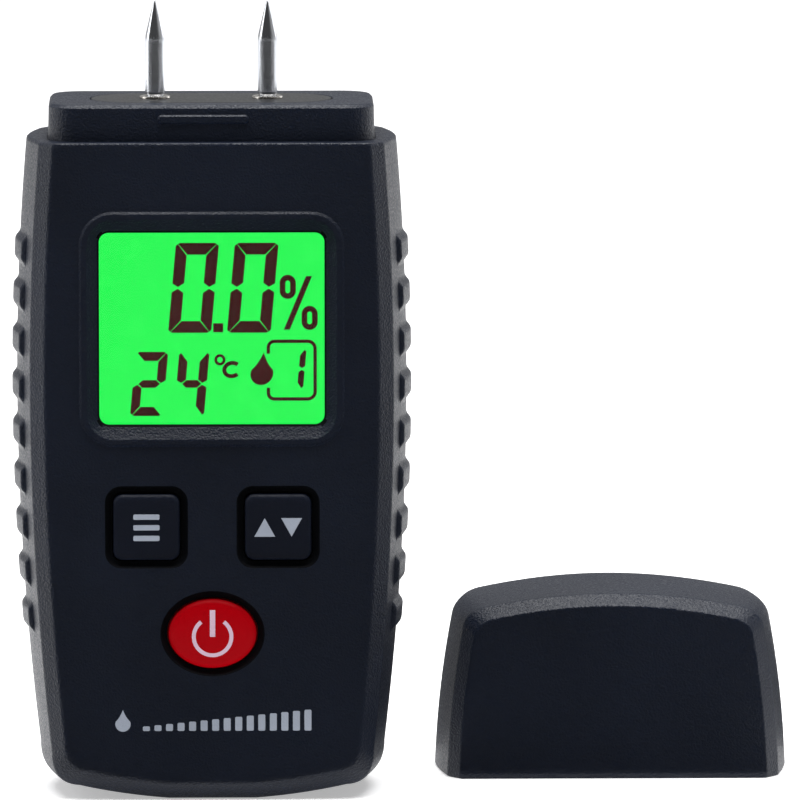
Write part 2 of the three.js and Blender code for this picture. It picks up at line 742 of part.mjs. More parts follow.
const KEYS = [
  { name: 'mode', x: -KEY.x, z: KEY.z, shape: squareKey(-KEY.x), look: FINISH.key },
  { name: 'set', x: KEY.x, z: KEY.z, shape: squareKey(KEY.x), look: FINISH.key },
  { name: 'power', x: 0, z: POWER.z, shape: powerKey(), look: FINISH.powerKey },
];
for (const { name, x, z, shape, look } of KEYS) {
  addPart(`${name}_key`, shape, look);
  addPart(`${name}_plunger`, keyPlunger(x, z), FINISH.whitePlastic);
  addPart(`${name}_switch`, keySwitch(x, z), FINISH.chip);
}

const cellBottom = BAY.z0 + 0.5;
const cellTop = BAY.z1 - 0.5;
const cellHeight = CELL.length + CELL.nub;
addPart('left_cell', cell(-CELL.x, cellTop - cellHeight, false), FINISH.cellWrap);
addPart('right_cell', cell(CELL.x, cellBottom, true), FINISH.cellWrap);
addPart('left_spring', contactSpring(-CELL.x, BAY.z0 + 0.85, cellTop - cellHeight - 0.4), FINISH.nickel);
addPart(
  'right_spring',
  contactSpring(CELL.x, BAY.z1 - 0.85, cellBottom + cellHeight + 0.4),
  FINISH.nickel,
);
addPart('negative_contact', contactPlate(-10.5, -1, BAY.z0 + 0.05), FINISH.nickel);
addPart('positive_contact', contactPlate(1, 10.5, BAY.z0 + 0.05), FINISH.nickel);
addPart('bridge_contact', contactPlate(-10.5, 10.5, BAY.z1 - 0.45), FINISH.nickel);
addPart('negative_lead', batteryLead(-5, -2), FINISH.blackWire);
addPart('positive_lead', batteryLead(5, 2), FINISH.redWire);

CASE_SCREWS.forEach(({ x, z }, index) => {
  addPart(`case_screw_${index + 1}`, screw(x, z, 11.2, -7.8, 1.95, 0.95), FINISH.steel);
});
BOARD_SCREWS.forEach(({ x, z }, index) => {
  const headY = BOARD.y1 + 1.5;
  addPart(`board_screw_${index + 1}`, screw(x, z, headY, -8.8, 1.7, 0.85), FINISH.steel);
});

const capGroup = new THREE.Group();
capGroup.position.set(CAP.x, CAP.y, 0);
meter.add(capGroup);
addPart('cap', cap(), FINISH.casing, capGroup);

export default meter;
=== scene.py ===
"""Looks for a pin-type moisture meter and its protective cap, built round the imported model.

Shapes are worked out in millimetres in the model's own frame: +X to the user's right,
+Y from the display to the back, +Z up. Pieces are scaled to metres when they are made.
"""

import math
from collections import namedtuple

import bmesh
import bpy
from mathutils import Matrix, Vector
from mathutils.geometry import tessellate_polygon


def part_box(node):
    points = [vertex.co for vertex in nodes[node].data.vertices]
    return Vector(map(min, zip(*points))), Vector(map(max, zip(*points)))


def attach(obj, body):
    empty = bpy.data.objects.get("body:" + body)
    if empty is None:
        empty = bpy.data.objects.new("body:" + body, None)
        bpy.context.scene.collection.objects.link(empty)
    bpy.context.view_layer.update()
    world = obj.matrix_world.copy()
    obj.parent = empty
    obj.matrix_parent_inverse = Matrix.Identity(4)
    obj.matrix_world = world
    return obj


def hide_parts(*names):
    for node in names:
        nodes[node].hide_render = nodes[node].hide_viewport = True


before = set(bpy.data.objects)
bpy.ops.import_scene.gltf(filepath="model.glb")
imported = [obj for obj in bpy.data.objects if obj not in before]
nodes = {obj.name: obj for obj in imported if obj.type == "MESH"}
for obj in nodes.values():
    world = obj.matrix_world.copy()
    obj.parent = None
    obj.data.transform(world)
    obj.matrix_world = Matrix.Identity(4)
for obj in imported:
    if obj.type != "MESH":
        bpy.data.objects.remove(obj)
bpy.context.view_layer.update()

MM = 0.001
SIDES = ("left", "right")


def box_mm(node):
    """Lowest and highest corner of a CAD node, in millimetres."""
    low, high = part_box(node)
    return low / MM, high / MM


def middle_mm(node):
    """Middle of a CAD node's box, as x, y and z in millimetres."""
    low, high = box_mm(node)
    return [(a + b) / 2 for a, b in zip(low, high)]


# ---- driving dimensions

front_low, front_high = box_mm("front_shell")

BEZEL_PROUD = 0.35  # the frame round the display stands over the panel
FRONT_Y = front_low.y + BEZEL_PROUD
BACK_Y = box_mm("rear_shell")[1].y
SHOULDER_Z = front_high.z
FRONT_EDGE_Y = front_high.y
REAR_EDGE_Y = FRONT_EDGE_Y + 0.2  # the two shells part here, with a fine gap
PANEL_INNER_Y = FRONT_Y + 2.0
BACK_INNER_Y = BACK_Y - 2.2
WALL = 1.8
SEAM = 0.07  # bevel along the parting line

HALF_WIDTH = 29.2
WIDEST_Z = 62.0
LOWER_RADIUS = 458.0  # bow of the sides below and above the widest level
UPPER_RADIUS = 417.0
BOTTOM_RADIUS = 104.0
FOOT_HALF = 7.0
BOTTOM_CORNER_X = 21.5  # the rounded corner starts here on the bottom
BOTTOM_CORNER = (26.0, 2.2)
BOTTOM_CORNER_Z = 7.0  # and ends here on the side
SHOULDER_CORNER = 0.7

RIB_HEIGHT = 0.72
RIB_COUNT = 9
RIB_PITCH = 6.9
RIB_FIRST_Z = 26.8
RIB_CREST = 1.1  # half of the flat top
RIB_FOOT = 2.5  # where a rib ends, from its middle
RIB_STEPS = 20

DISPLAY_OUTER = Vector((39.4, 35.1))
DISPLAY_VIEW = Vector((33.5, 28.75))
DISPLAY_POCKET = Vector((36.1, 31.4))
FRAME_CORNER = 5
VIEW_CORNER = 1.45
LIP_SHARE = 0.15  # lip at the foot of the frame's slope, painted dark as shade

GRAIN = 0.00032  # moulded-in texture, metres

# ---- surface builder


class Skin:
    """Collects a closed surface out of loops of points, in millimetres."""

    def __init__(self):
        self.points = []
        self.faces = []

    def loop(self, points):
        start = len(self.points)
        self.points.extend(points)
        return list(range(start, len(self.points)))

    def bridge(self, first, second, closed=True):
        count = len(first)
        for i in range(count if closed else count - 1):
            j = (i + 1) % count
            self.faces.append((first[i], first[j], second[j], second[i]))

    def chain(self, rings):
        """Loops joined one after another; returns the first and the last."""
        loops = [self.loop(ring) for ring in rings]
        for first, second in zip(loops, loops[1:]):
            self.bridge(first, second)
        return loops[0], loops[-1]

    def fill(self, *loops):
        """Closes a flat region. Loops after the first are holes in it."""
        indices = [i for loop in loops for i in loop]
        outlines = [[Vector(self.points[i]) for i in loop] for loop in loops]
        for triangle in tessellate_polygon(outlines):
            self.faces.append(tuple(indices[i] for i in triangle))

    def fan(self, loop, centre):
        """Closes a loop with triangles to one point."""
        tip = self.loop([centre])[0]
        for i in range(len(loop)):
            self.faces.append((loop[i], loop[(i + 1) % len(loop)], tip))

    def capped(self, rings):
        """Rings joined one after another and closed at both ends."""
        first, last = self.chain(rings)
        self.fill(first)
        self.fill(last)
        return self


def add_object(name, data):
    thing = bpy.data.objects.new(name, data)
    bpy.context.scene.collection.objects.link(thing)
    return thing


def mesh_object(name, skin):
    mesh = bpy.data.meshes.new(name)
    mesh.from_pydata([Vector(p) * MM for p in skin.points], [], skin.faces)
    piece = add_object(name, mesh)
    bpy.ops.object.select_all(action="DESELECT")
    piece.select_set(True)
    bpy.context.view_layer.objects.active = piece
    bpy.ops.object.mode_set(mode="EDIT")
    bpy.ops.mesh.select_all(action="SELECT")
    bpy.ops.mesh.normals_make_consistent(inside=False)
    bpy.ops.object.mode_set(mode="OBJECT")
    return piece


def combine(piece, skin, operation):
    tool = mesh_object("tool", skin)
    modifier = piece.modifiers.new("combine", "BOOLEAN")
    modifier.operation = operation
    modifier.solver = "EXACT"
    modifier.object = tool
    graph = bpy.context.evaluated_depsgraph_get()
    result = bpy.data.meshes.new_from_object(piece.evaluated_get(graph))
    piece.modifiers.remove(modifier)
    piece.data = result
    bpy.data.objects.remove(tool)


def join(piece, skin):
    combine(piece, skin, "UNION")


def cut(piece, skin):
    combine(piece, skin, "DIFFERENCE")


def close_cracks(mesh):
    """Closes the hairline gaps that joining solids can leave."""
    work = bmesh.new()
    work.from_mesh(mesh)
    bmesh.ops.remove_doubles(work, verts=work.verts, dist=2e-7)
    open_edges = [edge for edge in work.edges if edge.is_boundary]
    bmesh.ops.holes_fill(work, edges=open_edges, sides=0)
    work.to_mesh(mesh)
    work.free()


def finish(piece, material, body, node=None, sharp_degrees=32):
    """Closes and shades a piece, gives it its material and ties it to its body."""
    mesh = piece.data
    close_cracks(mesh)
    mesh.shade_smooth()
    mesh.set_sharp_from_angle(angle=math.radians(sharp_degrees))
    weights = piece.modifiers.new("normals", "WEIGHTED_NORMAL")
    weights.keep_sharp = True
    mesh.materials.clear()
    mesh.materials.append(material)
    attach(piece, body)
    if node:
        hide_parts(node)


# ---- outlines


def lerp(a, b, share):
    return a + (b - a) * share


def bend(start, control, end, steps):
    """Points of a quadratic curve, without its first one."""
    points = []
    for i in range(1, steps + 1):
        t = i / steps
        corners = zip(start, control, end)
        points.append(
            tuple((1 - t) ** 2 * a + 2 * t * (1 - t) * b + t * t * c for a, b, c in corners)
        )
    return points


def rounded(width, height, corner, u=0.0, v=0.0):
    """Rounded rectangle about a centre; always the same number of points."""
    steps = 8
    points = []
    quarters = ((1, 1), (-1, 1), (-1, -1), (1, -1))
    for quarter, (su, sv) in enumerate(quarters):
        for i in range(steps + 1):
            angle = (quarter + i / steps) * math.pi / 2
            x = u + su * (width / 2 - corner) + corner * math.cos(angle)
            y = v + sv * (height / 2 - corner) + corner * math.sin(angle)
            points.append((x, y))
    return points


def oval(half_u, half_v, u=0.0, v=0.0, steps=72):
    turn = 2 * math.pi / steps
    return [
        (u + half_u * math.cos(i * turn), v + half_v * math.sin(i * turn))
        for i in range(steps)
    ]


def at_y(outline, y):
    """An outline in X and Z, placed at a depth."""
    return [(u, y, v) for u, v in outline]


def at_z(outline, z):
    """An outline in X and Y, placed at a height."""
    return [(u, v, z) for u, v in outline]


def plate_rings(x0, x1, z0, z1, corner, levels):
    """Rounded rectangles between two corners in X and Z, from pairs of growth and depth."""
    rings = []
    for grow, y in levels:
        width = x1 - x0 + 2 * grow
        height = z1 - z0 + 2 * grow
        outline = rounded(width, height, corner + grow, (x0 + x1) / 2, (z0 + z1) / 2)
        rings.append(at_y(outline, y))
    return rings


def plate(*args):
    return Skin().capped(plate_rings(*args))


# ---- casing outline and draft

# Depth, pull of the sides, how far the edge there is rounded, share of the ribs, lift of the
# bottom and drop of the shoulder.
Station = namedtuple("Station", "y side soft rib end top", defaults=(0, 0, 0, 0))


def soften(stations, steps=5):
    """Rounds the edges where the surface turns at a station."""
    result = [stations[0]]
    for before, here, after in zip(stations, stations[1:], stations[2:]):
        if here.soft == 0:
            result.append(here)
            continue
        back = math.hypot(here.y - before.y, here.side - before.side)
        ahead = math.hypot(after.y - here.y, after.side - here.side)
        share_back = min(here.soft / back, 0.5)
        share_ahead = min(here.soft / ahead, 0.5)
        start = tuple(lerp(a, b, share_back) for a, b in zip(here, before))
        end = tuple(lerp(a, b, share_ahead) for a, b in zip(here, after))
        result.append(Station(*start))
        result.extend(Station(*point) for point in bend(start, here, end, steps))
    result.append(stations[-1])
    return result


def side_at(z):
    radius = LOWER_RADIUS if z < WIDEST_Z else UPPER_RADIUS
    return HALF_WIDTH - (z - WIDEST_Z) ** 2 / (2 * radius)


def bottom_at(x):
    return max(0.0, (x * x - FOOT_HALF**2) / (2 * BOTTOM_RADIUS))


def rib_at(z):
    """Height of the grip ribs: flat crests that fall smoothly to flat valleys."""
    nearest = min(max(round((z - RIB_FIRST_Z) / RIB_PITCH), 0), RIB_COUNT - 1)
    off = abs(z - (RIB_FIRST_Z + nearest * RIB_PITCH))
    fall = min(max((off - RIB_CREST) / (RIB_FOOT - RIB_CREST), 0.0), 1.0)
    return RIB_HEIGHT * (0.5 + 0.5 * math.cos(math.pi * fall))


def steps_between(start, end, count):
    """Evenly spaced values after the start, up to the end."""
    return [lerp(start, end, i / count) for i in range(1, count + 1)]


def casing_outline():
    """Closed outline of (x, z, rib height), anticlockwise from the right end of the foot."""
    right = [(FOOT_HALF, 0.0)]
    right += [(x, bottom_at(x)) for x in steps_between(FOOT_HALF, BOTTOM_CORNER_X, 12)]
    corner_end = (side_at(BOTTOM_CORNER_Z), BOTTOM_CORNER_Z)
    right += bend(right[-1], BOTTOM_CORNER, corner_end, 14)
    rib_start = RIB_FIRST_Z - RIB_PITCH / 2
    rib_end = rib_start + RIB_COUNT * RIB_PITCH
    heights = steps_between(BOTTOM_CORNER_Z, rib_start, 6)
    heights += steps_between(rib_start, rib_end, RIB_COUNT * RIB_STEPS)
    heights += steps_between(rib_end, SHOULDER_Z - SHOULDER_CORNER, 6)
    right += [(side_at(z), z) for z in heights]
    top_x = side_at(SHOULDER_Z)
    right += bend(right[-1], (top_x, SHOULDER_Z), (top_x - SHOULDER_CORNER, SHOULDER_Z), 5)
    left = [(-x, z) for x, z in reversed(right)]
    return [(x, z, math.copysign(rib_at(z), x)) for x, z in right + left]


OUTLINE = casing_outline()


def casing_loop(station, wall=0.0):
    width = (HALF_WIDTH - station.side - wall) / HALF_WIDTH
    height = (SHOULDER_Z - station.top - station.end - 2 * wall) / SHOULDER_Z
    lift = station.end + wall
    y = station.y
    return [((x + rib * station.rib) * width, y, lift + z * height) for x, z, rib in OUTLINE]


def shell(name, stations, wall_stations, openings):
    """Half of the casing. Each opening is a list of rings from outside to inside."""
    skin = Skin()
    outer = [casing_loop(station) for station in soften(stations)]
    inner = [casing_loop(station, WALL) for station in wall_stations]
    panel, panel_inside = skin.chain(outer + inner)
    ends = [skin.chain(rings) for rings in openings]
    skin.fill(panel, *[first for first, _ in ends])
    skin.fill(panel_inside, *[last for _, last in ends])
    return mesh_object(name, skin)


def stations(*rows):
    return [Station(*row) for row in rows]


FRONT_STATIONS = stations(
    (FRONT_Y, 5.8, 0, 0, 4.1, 1.4), (FRONT_Y, 4.4, 0.5, 0, 2.7), (-11.2, 2.1, 0.3),
    (-7.25, 1.16), (-7.0, 1.1, 0.2, 1), (-5.5, 0.75, 1.4, 1), (-2.5, 0.2, 1.4, 1),
    (0, 0, 1.2, 1), (FRONT_EDGE_Y - SEAM, 0, 0, 1), (FRONT_EDGE_Y, SEAM, 0, 1, SEAM, SEAM),
)
FRONT_WALL = stations(
    (FRONT_EDGE_Y, 0.1), (-5.5, 0.75), (PANEL_INNER_Y, 2.4, 0, 0, 0.35),
)
REAR_STATIONS = stations(
    (BACK_Y, 7.8, 0, 0, 5.8, 1.4), (BACK_Y, 6.2, 0.6, 0, 4.2), (12.0, 3.3, 0.8, 0, 1.4),
    (9.5, 1.6, 0.8), (8.75, 1.41), (8.5, 1.35, 0.2, 1), (5.0, 0.45, 1.5, 1),
    (REAR_EDGE_Y + SEAM, 0, 0, 1), (REAR_EDGE_Y, SEAM, 0, 1, SEAM, SEAM),
)
REAR_WALL = stations(
    (REAR_EDGE_Y, 0.1), (5.0, 0.45), (9.5, 1.6), (BACK_INNER_Y, 2.7, 0, 0, 1.0),
)

# ---- materials


def set_inputs(node, values):
    """Sets a node's inputs; one that is given another node's output is linked to it."""
    for name, value in values.items():
        if isinstance(value, bpy.types.NodeSocket):
            node.id_data.links.new(value, node.inputs[name])
        else:
            node.inputs[name].default_value = value


def add_node(tree, kind, values=None):
    node = tree.nodes.new(f"ShaderNode{kind}")
    set_inputs(node, values or {})
    return node


def node_material(name):
    material = bpy.data.materials.new(name)
    material.use_nodes = True
    tree = material.node_tree
    return material, tree, tree.nodes["Principled BSDF"]


def noise(tree, size, detail, stretch=(1, 1, 1)):
    """Noise of a given grain size in metres, in the piece's own coordinates."""
    place = add_node(tree, "TexCoord").outputs["Object"]
    place = add_node(tree, "Mapping", {"Vector": place, "Scale": stretch}).outputs["Vector"]
    values = {"Vector": place, "Scale": 1 / size, "Detail": detail}
    return add_node(tree, "TexNoise", values).outputs["Fac"]


NOISE_MIDDLE = (0.3, 0.7)  # where nearly all of a noise's values lie


def spread(tree, value, start, end, low, high):
    """Maps one range of a value to another."""
    values = {"Value": value, "From Min": start, "From Max": end, "To Min": low, "To Max": high}
    return add_node(tree, "MapRange", values)


def gloss(tree, value, low, high):
    return spread(tree, value, *NOISE_MIDDLE, low, high).outputs["Result"]


def tinted(tree, value, colour, mottle):
    """A colour made a little darker and lighter by a noise."""
    ramp = add_node(tree, "ValToRGB", {"Fac": value})
    factors = (1 - mottle, 1 + mottle)
    for stop, place, factor in zip(ramp.color_ramp.elements, NOISE_MIDDLE, factors):
        stop.position = place
        stop.color = (*[channel * factor for channel in colour], 1)
    return ramp.outputs["Color"]


def surface(
    name, colour, roughness, metallic=0.0, specular=0.5, relief=0.1, mottle=0.12,
    stretch=(1, 1, 1), gloss_range=0.07,
):
    """Moulded, painted or metal surface with grain in its relief, colour and gloss."""
    material, tree, shader = node_material(name)
    fine = noise(tree, GRAIN, 2.0, stretch)
    broad = noise(tree, GRAIN * 60, 3.0)
    bump = {"Height": fine, "Strength": 1.0, "Distance": GRAIN * relief}
    smoothest = max(roughness - gloss_range, 0.03)
    values = {
        "Base Color": tinted(tree, broad, colour, mottle),
        "Roughness": gloss(tree, fine, smoothest, roughness + gloss_range),
        "Normal": add_node(tree, "Bump", bump).outputs["Normal"],
        "Metallic": metallic,
        "Specular IOR Level": specular,
    }
    set_inputs(shader, values)
    return material


def glowing(name, colour, strength):
    """Lit panel with a faint unevenness."""
    material, tree, shader = node_material(name)
    broad = noise(tree, 0.004, 3.0)
    values = {
        "Emission Color": tinted(tree, broad, colour, 0.01),
        "Emission Strength": strength,
        "Base Color": (0.0, 0.03, 0.004, 1),
        "Specular IOR Level": 0.1,
        "Roughness": gloss(tree, broad, 0.2, 0.3),
    }
    set_inputs(shader, values)
    return material


def clear(name, roughness):
    """Clear plastic with a little wear in its gloss."""
    material, tree, shader = node_material(name)
    wear = gloss(tree, noise(tree, 0.0006, 3.0), 0.0, roughness)
    set_inputs(shader, {"Roughness": wear, "Transmission Weight": 1.0, "IOR": 1.2})
    return material


CASING = surface(
    "moulded_black", (0.0038, 0.0074, 0.0185), 0.42, specular=0.35, relief=0.5, gloss_range=0.13
)
KEYPAD = surface("black_rubber", (0.0030, 0.0055, 0.0145), 0.5, specular=0.22, relief=0.2)
# Painted shade: a darker colour for the key wells and the lip round the window, where shade falls
RECESS_SHADE = surface("recess_painted_shade", (0.0014, 0.0018, 0.0030), 0.6, specular=0.1, relief=0.2)
INSERT = surface("smooth_black", (0.006, 0.007, 0.009), 0.4, specular=0.45)
POWER_RED = surface(
    "red_rubber", (0.31, 0.0002, 0.0030), 0.36, specular=0.03, relief=0.05, mottle=0.04
)
POLISHED = surface(
    "polished_steel", (0.72, 0.74, 0.78), 0.12, 1.0, relief=0.02, stretch=(1, 1, 14)
)
STEEL = surface("zinc_steel", (0.55, 0.56, 0.58), 0.3, 1.0)
NICKEL = surface("nickel", (0.5, 0.48, 0.45), 0.24, 1.0, relief=0.05)
COPPER = surface("copper", (0.75, 0.4, 0.2), 0.3, 1.0, relief=0.05)
LIT_GREEN = glowing("lit_green", (0.0165, 1.0, 0.093), 1.15)
SEGMENT = surface("display_segment", (0.085, 0.009, 0.010), 0.4, specular=0.04, relief=0.02)
CLEAR = clear("clear_window", 0.04)
PRINT = surface("printed_grey", (0.27, 0.30, 0.36), 0.5, specular=0.3, relief=0.15)
PALE_PRINT = surface("printed_pink_grey", (0.60, 0.42, 0.52), 0.5, specular=0.3, relief=0.15)
LIGHT_GUIDE = surface("light_guide", (0.6, 0.85, 0.65), 0.3, relief=0.05)
WHITE = surface("white_plastic", (0.75, 0.75, 0.72), 0.45)
RUBBER = surface("elastomer", (0.55, 0.5, 0.45), 0.65)
BOARD = surface("solder_mask", (0.01, 0.12, 0.035), 0.35, relief=0.12, mottle=0.25)
CHIP = surface("chip_black", (0.012, 0.012, 0.013), 0.4, relief=0.2)
WRAP = surface("cell_wrap", (0.014, 0.052, 0.120), 0.24, relief=0.03)
PALE_BAND = surface("cell_pale_band", (0.50, 0.51, 0.52), 0.26, relief=0.03)
RED_WIRE = surface("red_wire", (0.42, 0.01, 0.008), 0.4, relief=0.05)
BLACK_WIRE = surface("black_wire", (0.012, 0.012, 0.013), 0.4, relief=0.05)
LABEL = surface("silver_label", (0.33, 0.34, 0.36), 0.38, 0.3, relief=0.05)

# ---- front shell

_, _, DISPLAY_Z = middle_mm("display_window")
WINDOW_Y = box_mm("display_window")[0].y
GLASS_Y = box_mm("display_glass")[0].y


def display_ring(size, corner, y):
    return at_y(rounded(size.x, size.y, corner, 0, DISPLAY_Z), y)


def display_rings():
    """The raised frame, its slope down to the window, and the pocket behind."""
    crest_y = FRONT_Y - BEZEL_PROUD
    slope_inset = 2.55
    slope_y = crest_y + 0.16
    slope_corner = 3.7
    rings = []
    for grow, y in (
        (0.30, FRONT_Y), (0.10, FRONT_Y - 0.01), (0.0, FRONT_Y - 0.04),
        (-0.56, crest_y + 0.03), (-0.75, crest_y), (-2.0, crest_y), (-2.3, crest_y + 0.04),
        (-slope_inset, slope_y),
    ):
        size = DISPLAY_OUTER + Vector((grow, grow))
        rings.append(display_ring(size, FRAME_CORNER + grow / 2, y))
    slope_start = DISPLAY_OUTER - Vector((slope_inset, slope_inset))
    slope_end_y = WINDOW_Y - 0.62
    for share in (0.33, 0.66, 1 - LIP_SHARE, 1.0):
        size = slope_start.lerp(DISPLAY_VIEW, share)
        y = lerp(slope_y, slope_end_y, share)
        rings.append(display_ring(size, lerp(slope_corner, VIEW_CORNER, share), y))
    pocket_y = WINDOW_Y - 0.05
    rings.append(display_ring(DISPLAY_VIEW, VIEW_CORNER, pocket_y))
    rings += [display_ring(DISPLAY_POCKET, 1.0, y) for y in (pocket_y, PANEL_INNER_Y)]
    return rings


KEY_SIZE = 9.9
KEY_GAP = 0.25
KEY_TOP = box_mm("mode_key")[0].y
POWER_TOP = box_mm("power_key")[0].y
MODE_X, _, KEY_Z = middle_mm("mode_key")
SET_X, _, _ = middle_mm("set_key")
_, _, POWER_Z = middle_mm("power_key")
POWER_HALF = Vector((6.55, 5.2))

# How far a well's surface is from the key's hole, and its depth under the panel.
WELL_DISH = (
    (1.1, 0.0), (0.98, 0.02), (0.85, 0.08), (0.7, 0.2), (0.5, 0.42), (0.28, 0.64), (0.0, 0.75),
)
WELL_CORNER = 1.5


def well(outline):
    """Rings of a well, from a function that gives its hole grown by an amount."""
    rings = [at_y(outline(out), FRONT_Y + depth) for out, depth in WELL_DISH]
    return rings + [at_y(outline(0.0), PANEL_INNER_Y)]


def square_well(x, extra=0.0):
    hole = KEY_SIZE + 2 * KEY_GAP + extra
    return well(lambda out: rounded(hole + 2 * out, hole + 2 * out, WELL_CORNER + out, x, KEY_Z))


def power_well():
    half = POWER_HALF + Vector((KEY_GAP, KEY_GAP))
    return well(lambda out: oval(half.x + out, half.y + out, 0, POWER_Z))


HEAD_HALF = Vector((24.3, 11.2))
HEAD_CORNER = 4.5
NECK_HALF = Vector((22.3, 8.8))
NECK_CORNER = 0.5
NECK_FOOT_Z = SHOULDER_Z - 4.2
SNAP_X = -1.2  # middle of the bar that the cap snaps over


def head_seat():
    """Shallow seat in the shoulder and the slot through it."""
    room = 0.3
    slot = rounded(2 * NECK_HALF.x, 2 * NECK_HALF.y, NECK_CORNER)
    seat = rounded(2 * HEAD_HALF.x + room, 2 * HEAD_HALF.y + room, HEAD_CORNER + 0.15)
    seat_z = SHOULDER_Z - 0.3
    rings = [
        at_z(slot, SHOULDER_Z - 4), at_z(slot, seat_z), at_z(seat, seat_z),
        at_z(seat, SHOULDER_Z + 1),
    ]
    return Skin().capped(rings)


def screw_places(kind):
    """X and Z of the four screws of a kind."""
    return [middle_mm(f"{kind}_screw_{index}")[::2] for index in range(1, 5)]


CASE_SCREWS = screw_places("case")
BOARD_SCREWS = screw_places("board")
CASE_BOSS = 2.4  # radii of the screws' bosses and of the holes in them
CASE_BORE = 1.0
CASE_BORE_Y = -8.2
BOARD_BOSS = 2.0
BOARD_BOSS_Y = -6.1
BOARD_BORE = 0.9
BOARD_BORE_Y = -9.2


def bosses(places, radius, y0, y1):
    skin = Skin()
    for x, z in places:
        skin.capped([at_y(oval(radius, radius, x, z, 24), y) for y in (y0, y1)])
    return skin


def paint_recess_shade(piece):
    """Paints shade into the wells and the lip round the window: a darker colour than the panel,
    with a duller gloss.
    """
    # Faces in the hollows get the painted-shade material
    piece.data.materials.append(RECESS_SHADE)
    reach = KEY_SIZE / 2 + WELL_DISH[0][0] + 0.5
    for face in piece.data.polygons:
        place = face.center / MM
        if place.y < FRONT_Y + 0.04 or place.y > PANEL_INNER_Y - 0.01:
            continue
        by_key = abs(place.z - KEY_Z) < reach and abs(abs(place.x) - abs(SET_X)) < reach
        by_power = math.hypot(place.x, place.z - POWER_Z) < POWER_HALF.x + 2
        across = abs(place.x) - DISPLAY_VIEW.x / 2
        along = abs(place.z - DISPLAY_Z) - DISPLAY_VIEW.y / 2
        by_display = max(across, along) < 0.2
        if by_key or by_power or by_display:
            face.material_index = 1


def front_shell():
    # The second well is a hair wider, so that no two corners of the panel's fill line up.
    wells = [square_well(MODE_X), square_well(SET_X, 0.01), power_well()]
    piece = shell("casing_front", FRONT_STATIONS, FRONT_WALL, [display_rings(), *wells])
    boss_y = PANEL_INNER_Y - 0.4
    join(piece, bosses(CASE_SCREWS, CASE_BOSS, boss_y, FRONT_EDGE_Y))
    join(piece, bosses(BOARD_SCREWS, BOARD_BOSS, boss_y, BOARD_BOSS_Y))
    cut(piece, bosses(CASE_SCREWS, CASE_BORE, CASE_BORE_Y, FRONT_EDGE_Y + 1))
    cut(piece, bosses(BOARD_SCREWS, BOARD_BORE, BOARD_BORE_Y, BOARD_BOSS_Y + 1.1))
    cut(piece, head_seat())
    finish(piece, CASING, "housing", "front_shell")
    paint_recess_shade(piece)


front_shell()

# ---- rear shell

BAY_HALF = 12.0
BAY_Z = (10.0, 61.0)
BAY_Y = 0.2
BAY_WALL = 1.2
DOOR_HALF = 13.3
DOOR_TOP = 62.6
DOOR_Y = 11.3
DOOR_GAP = 0.3
LEDGE_Y = DOOR_Y - 0.15
HINGE_Y = 12.4
HINGE_Z = 9.9
HINGE_RADIUS = 1.1
INSIDE_Y = BACK_INNER_Y + 0.5  # a little way into the back wall
_, _, LABEL_Z = middle_mm("rating_label")


def door_opening():
    """The battery bay and, over it, the wider opening that the door closes."""
    x = DOOR_HALF + DOOR_GAP
    low = HINGE_Z - HINGE_RADIUS - 0.4
    levels = ((0, LEDGE_Y), (0, BACK_Y - 0.2), (0.25, BACK_Y + 0.05), (0.25, BACK_Y + 2))
    rings = plate_rings(-BAY_HALF, BAY_HALF, *BAY_Z, 0.6, ((0, BAY_Y), (0, LEDGE_Y)))
    rings += plate_rings(-x, x, low, DOOR_TOP + DOOR_GAP, 0.45, levels)
    return Skin().capped(rings)


def finger_notch():
    front = DOOR_Y + 0.3
    rings = []
    for grow, y in ((0, front), (0, BACK_Y - 0.6), (0.25, BACK_Y - 0.1), (0.7, BACK_Y + 0.6)):
        x = 6 + grow
        top = DOOR_TOP + 2.6 + grow
        rings += plate_rings(-x, x, DOOR_TOP - 0.6, top, 1.0 + grow, ((0, y),))
    return Skin().capped(rings)


def label_recess():
    x = 17.25
    half = 8.25
    levels = ((0, BACK_Y - 0.3), (0, BACK_Y - 0.06), (0.1, BACK_Y + 0.04), (0.1, BACK_Y + 1))
    return plate(-x, x, LABEL_Z - half, LABEL_Z + half, 1.2, levels)


def screw_wells():
    """Clearance holes for the case screws, each with a well for the screw's head."""
    seat_y = 9.6
    profile = (
        (1.3, -1), (1.3, seat_y), (2.1, seat_y), (2.1, BACK_Y - 1.9), (2.35, BACK_Y - 1.5),
        (2.5, BACK_Y + 2),
    )
    skin = Skin()
    for x, z in CASE_SCREWS:
        skin.capped([at_y(oval(radius, radius, x, z, 32), y) for radius, y in profile])
    return skin


def hinge_pivot(radius, beyond):
    reach = DOOR_HALF + beyond
    circle = oval(radius, radius, HINGE_Y, HINGE_Z, 24)
    return Skin().capped([[(x, y, z) for y, z in circle] for x in (-reach, reach)])


def rear_shell():
    piece = shell("casing_rear", REAR_STATIONS, REAR_WALL, [])
    x = BAY_HALF + BAY_WALL
    low, high = BAY_Z
    levels = ((0, BAY_Y - BAY_WALL), (0, INSIDE_Y))
    join(piece, plate(-x, x, low - BAY_WALL, high + BAY_WALL, 0.8, levels))
    pad = DOOR_HALF + DOOR_GAP + 2
    join(piece, plate(-pad, pad, 8.4, 11.6, 0.3, ((0, 10.4), (0, INSIDE_Y))))
    join(piece, bosses(CASE_SCREWS, CASE_BOSS, REAR_EDGE_Y, INSIDE_Y))
    cut(piece, door_opening())
    cut(piece, hinge_pivot(0.75, 1.5))
    cut(piece, finger_notch())
    cut(piece, label_recess())
    cut(piece, screw_wells())
    cut(piece, head_seat())
    finish(piece, CASING, "housing", "rear_shell")


rear_shell()

# ---- battery door and label


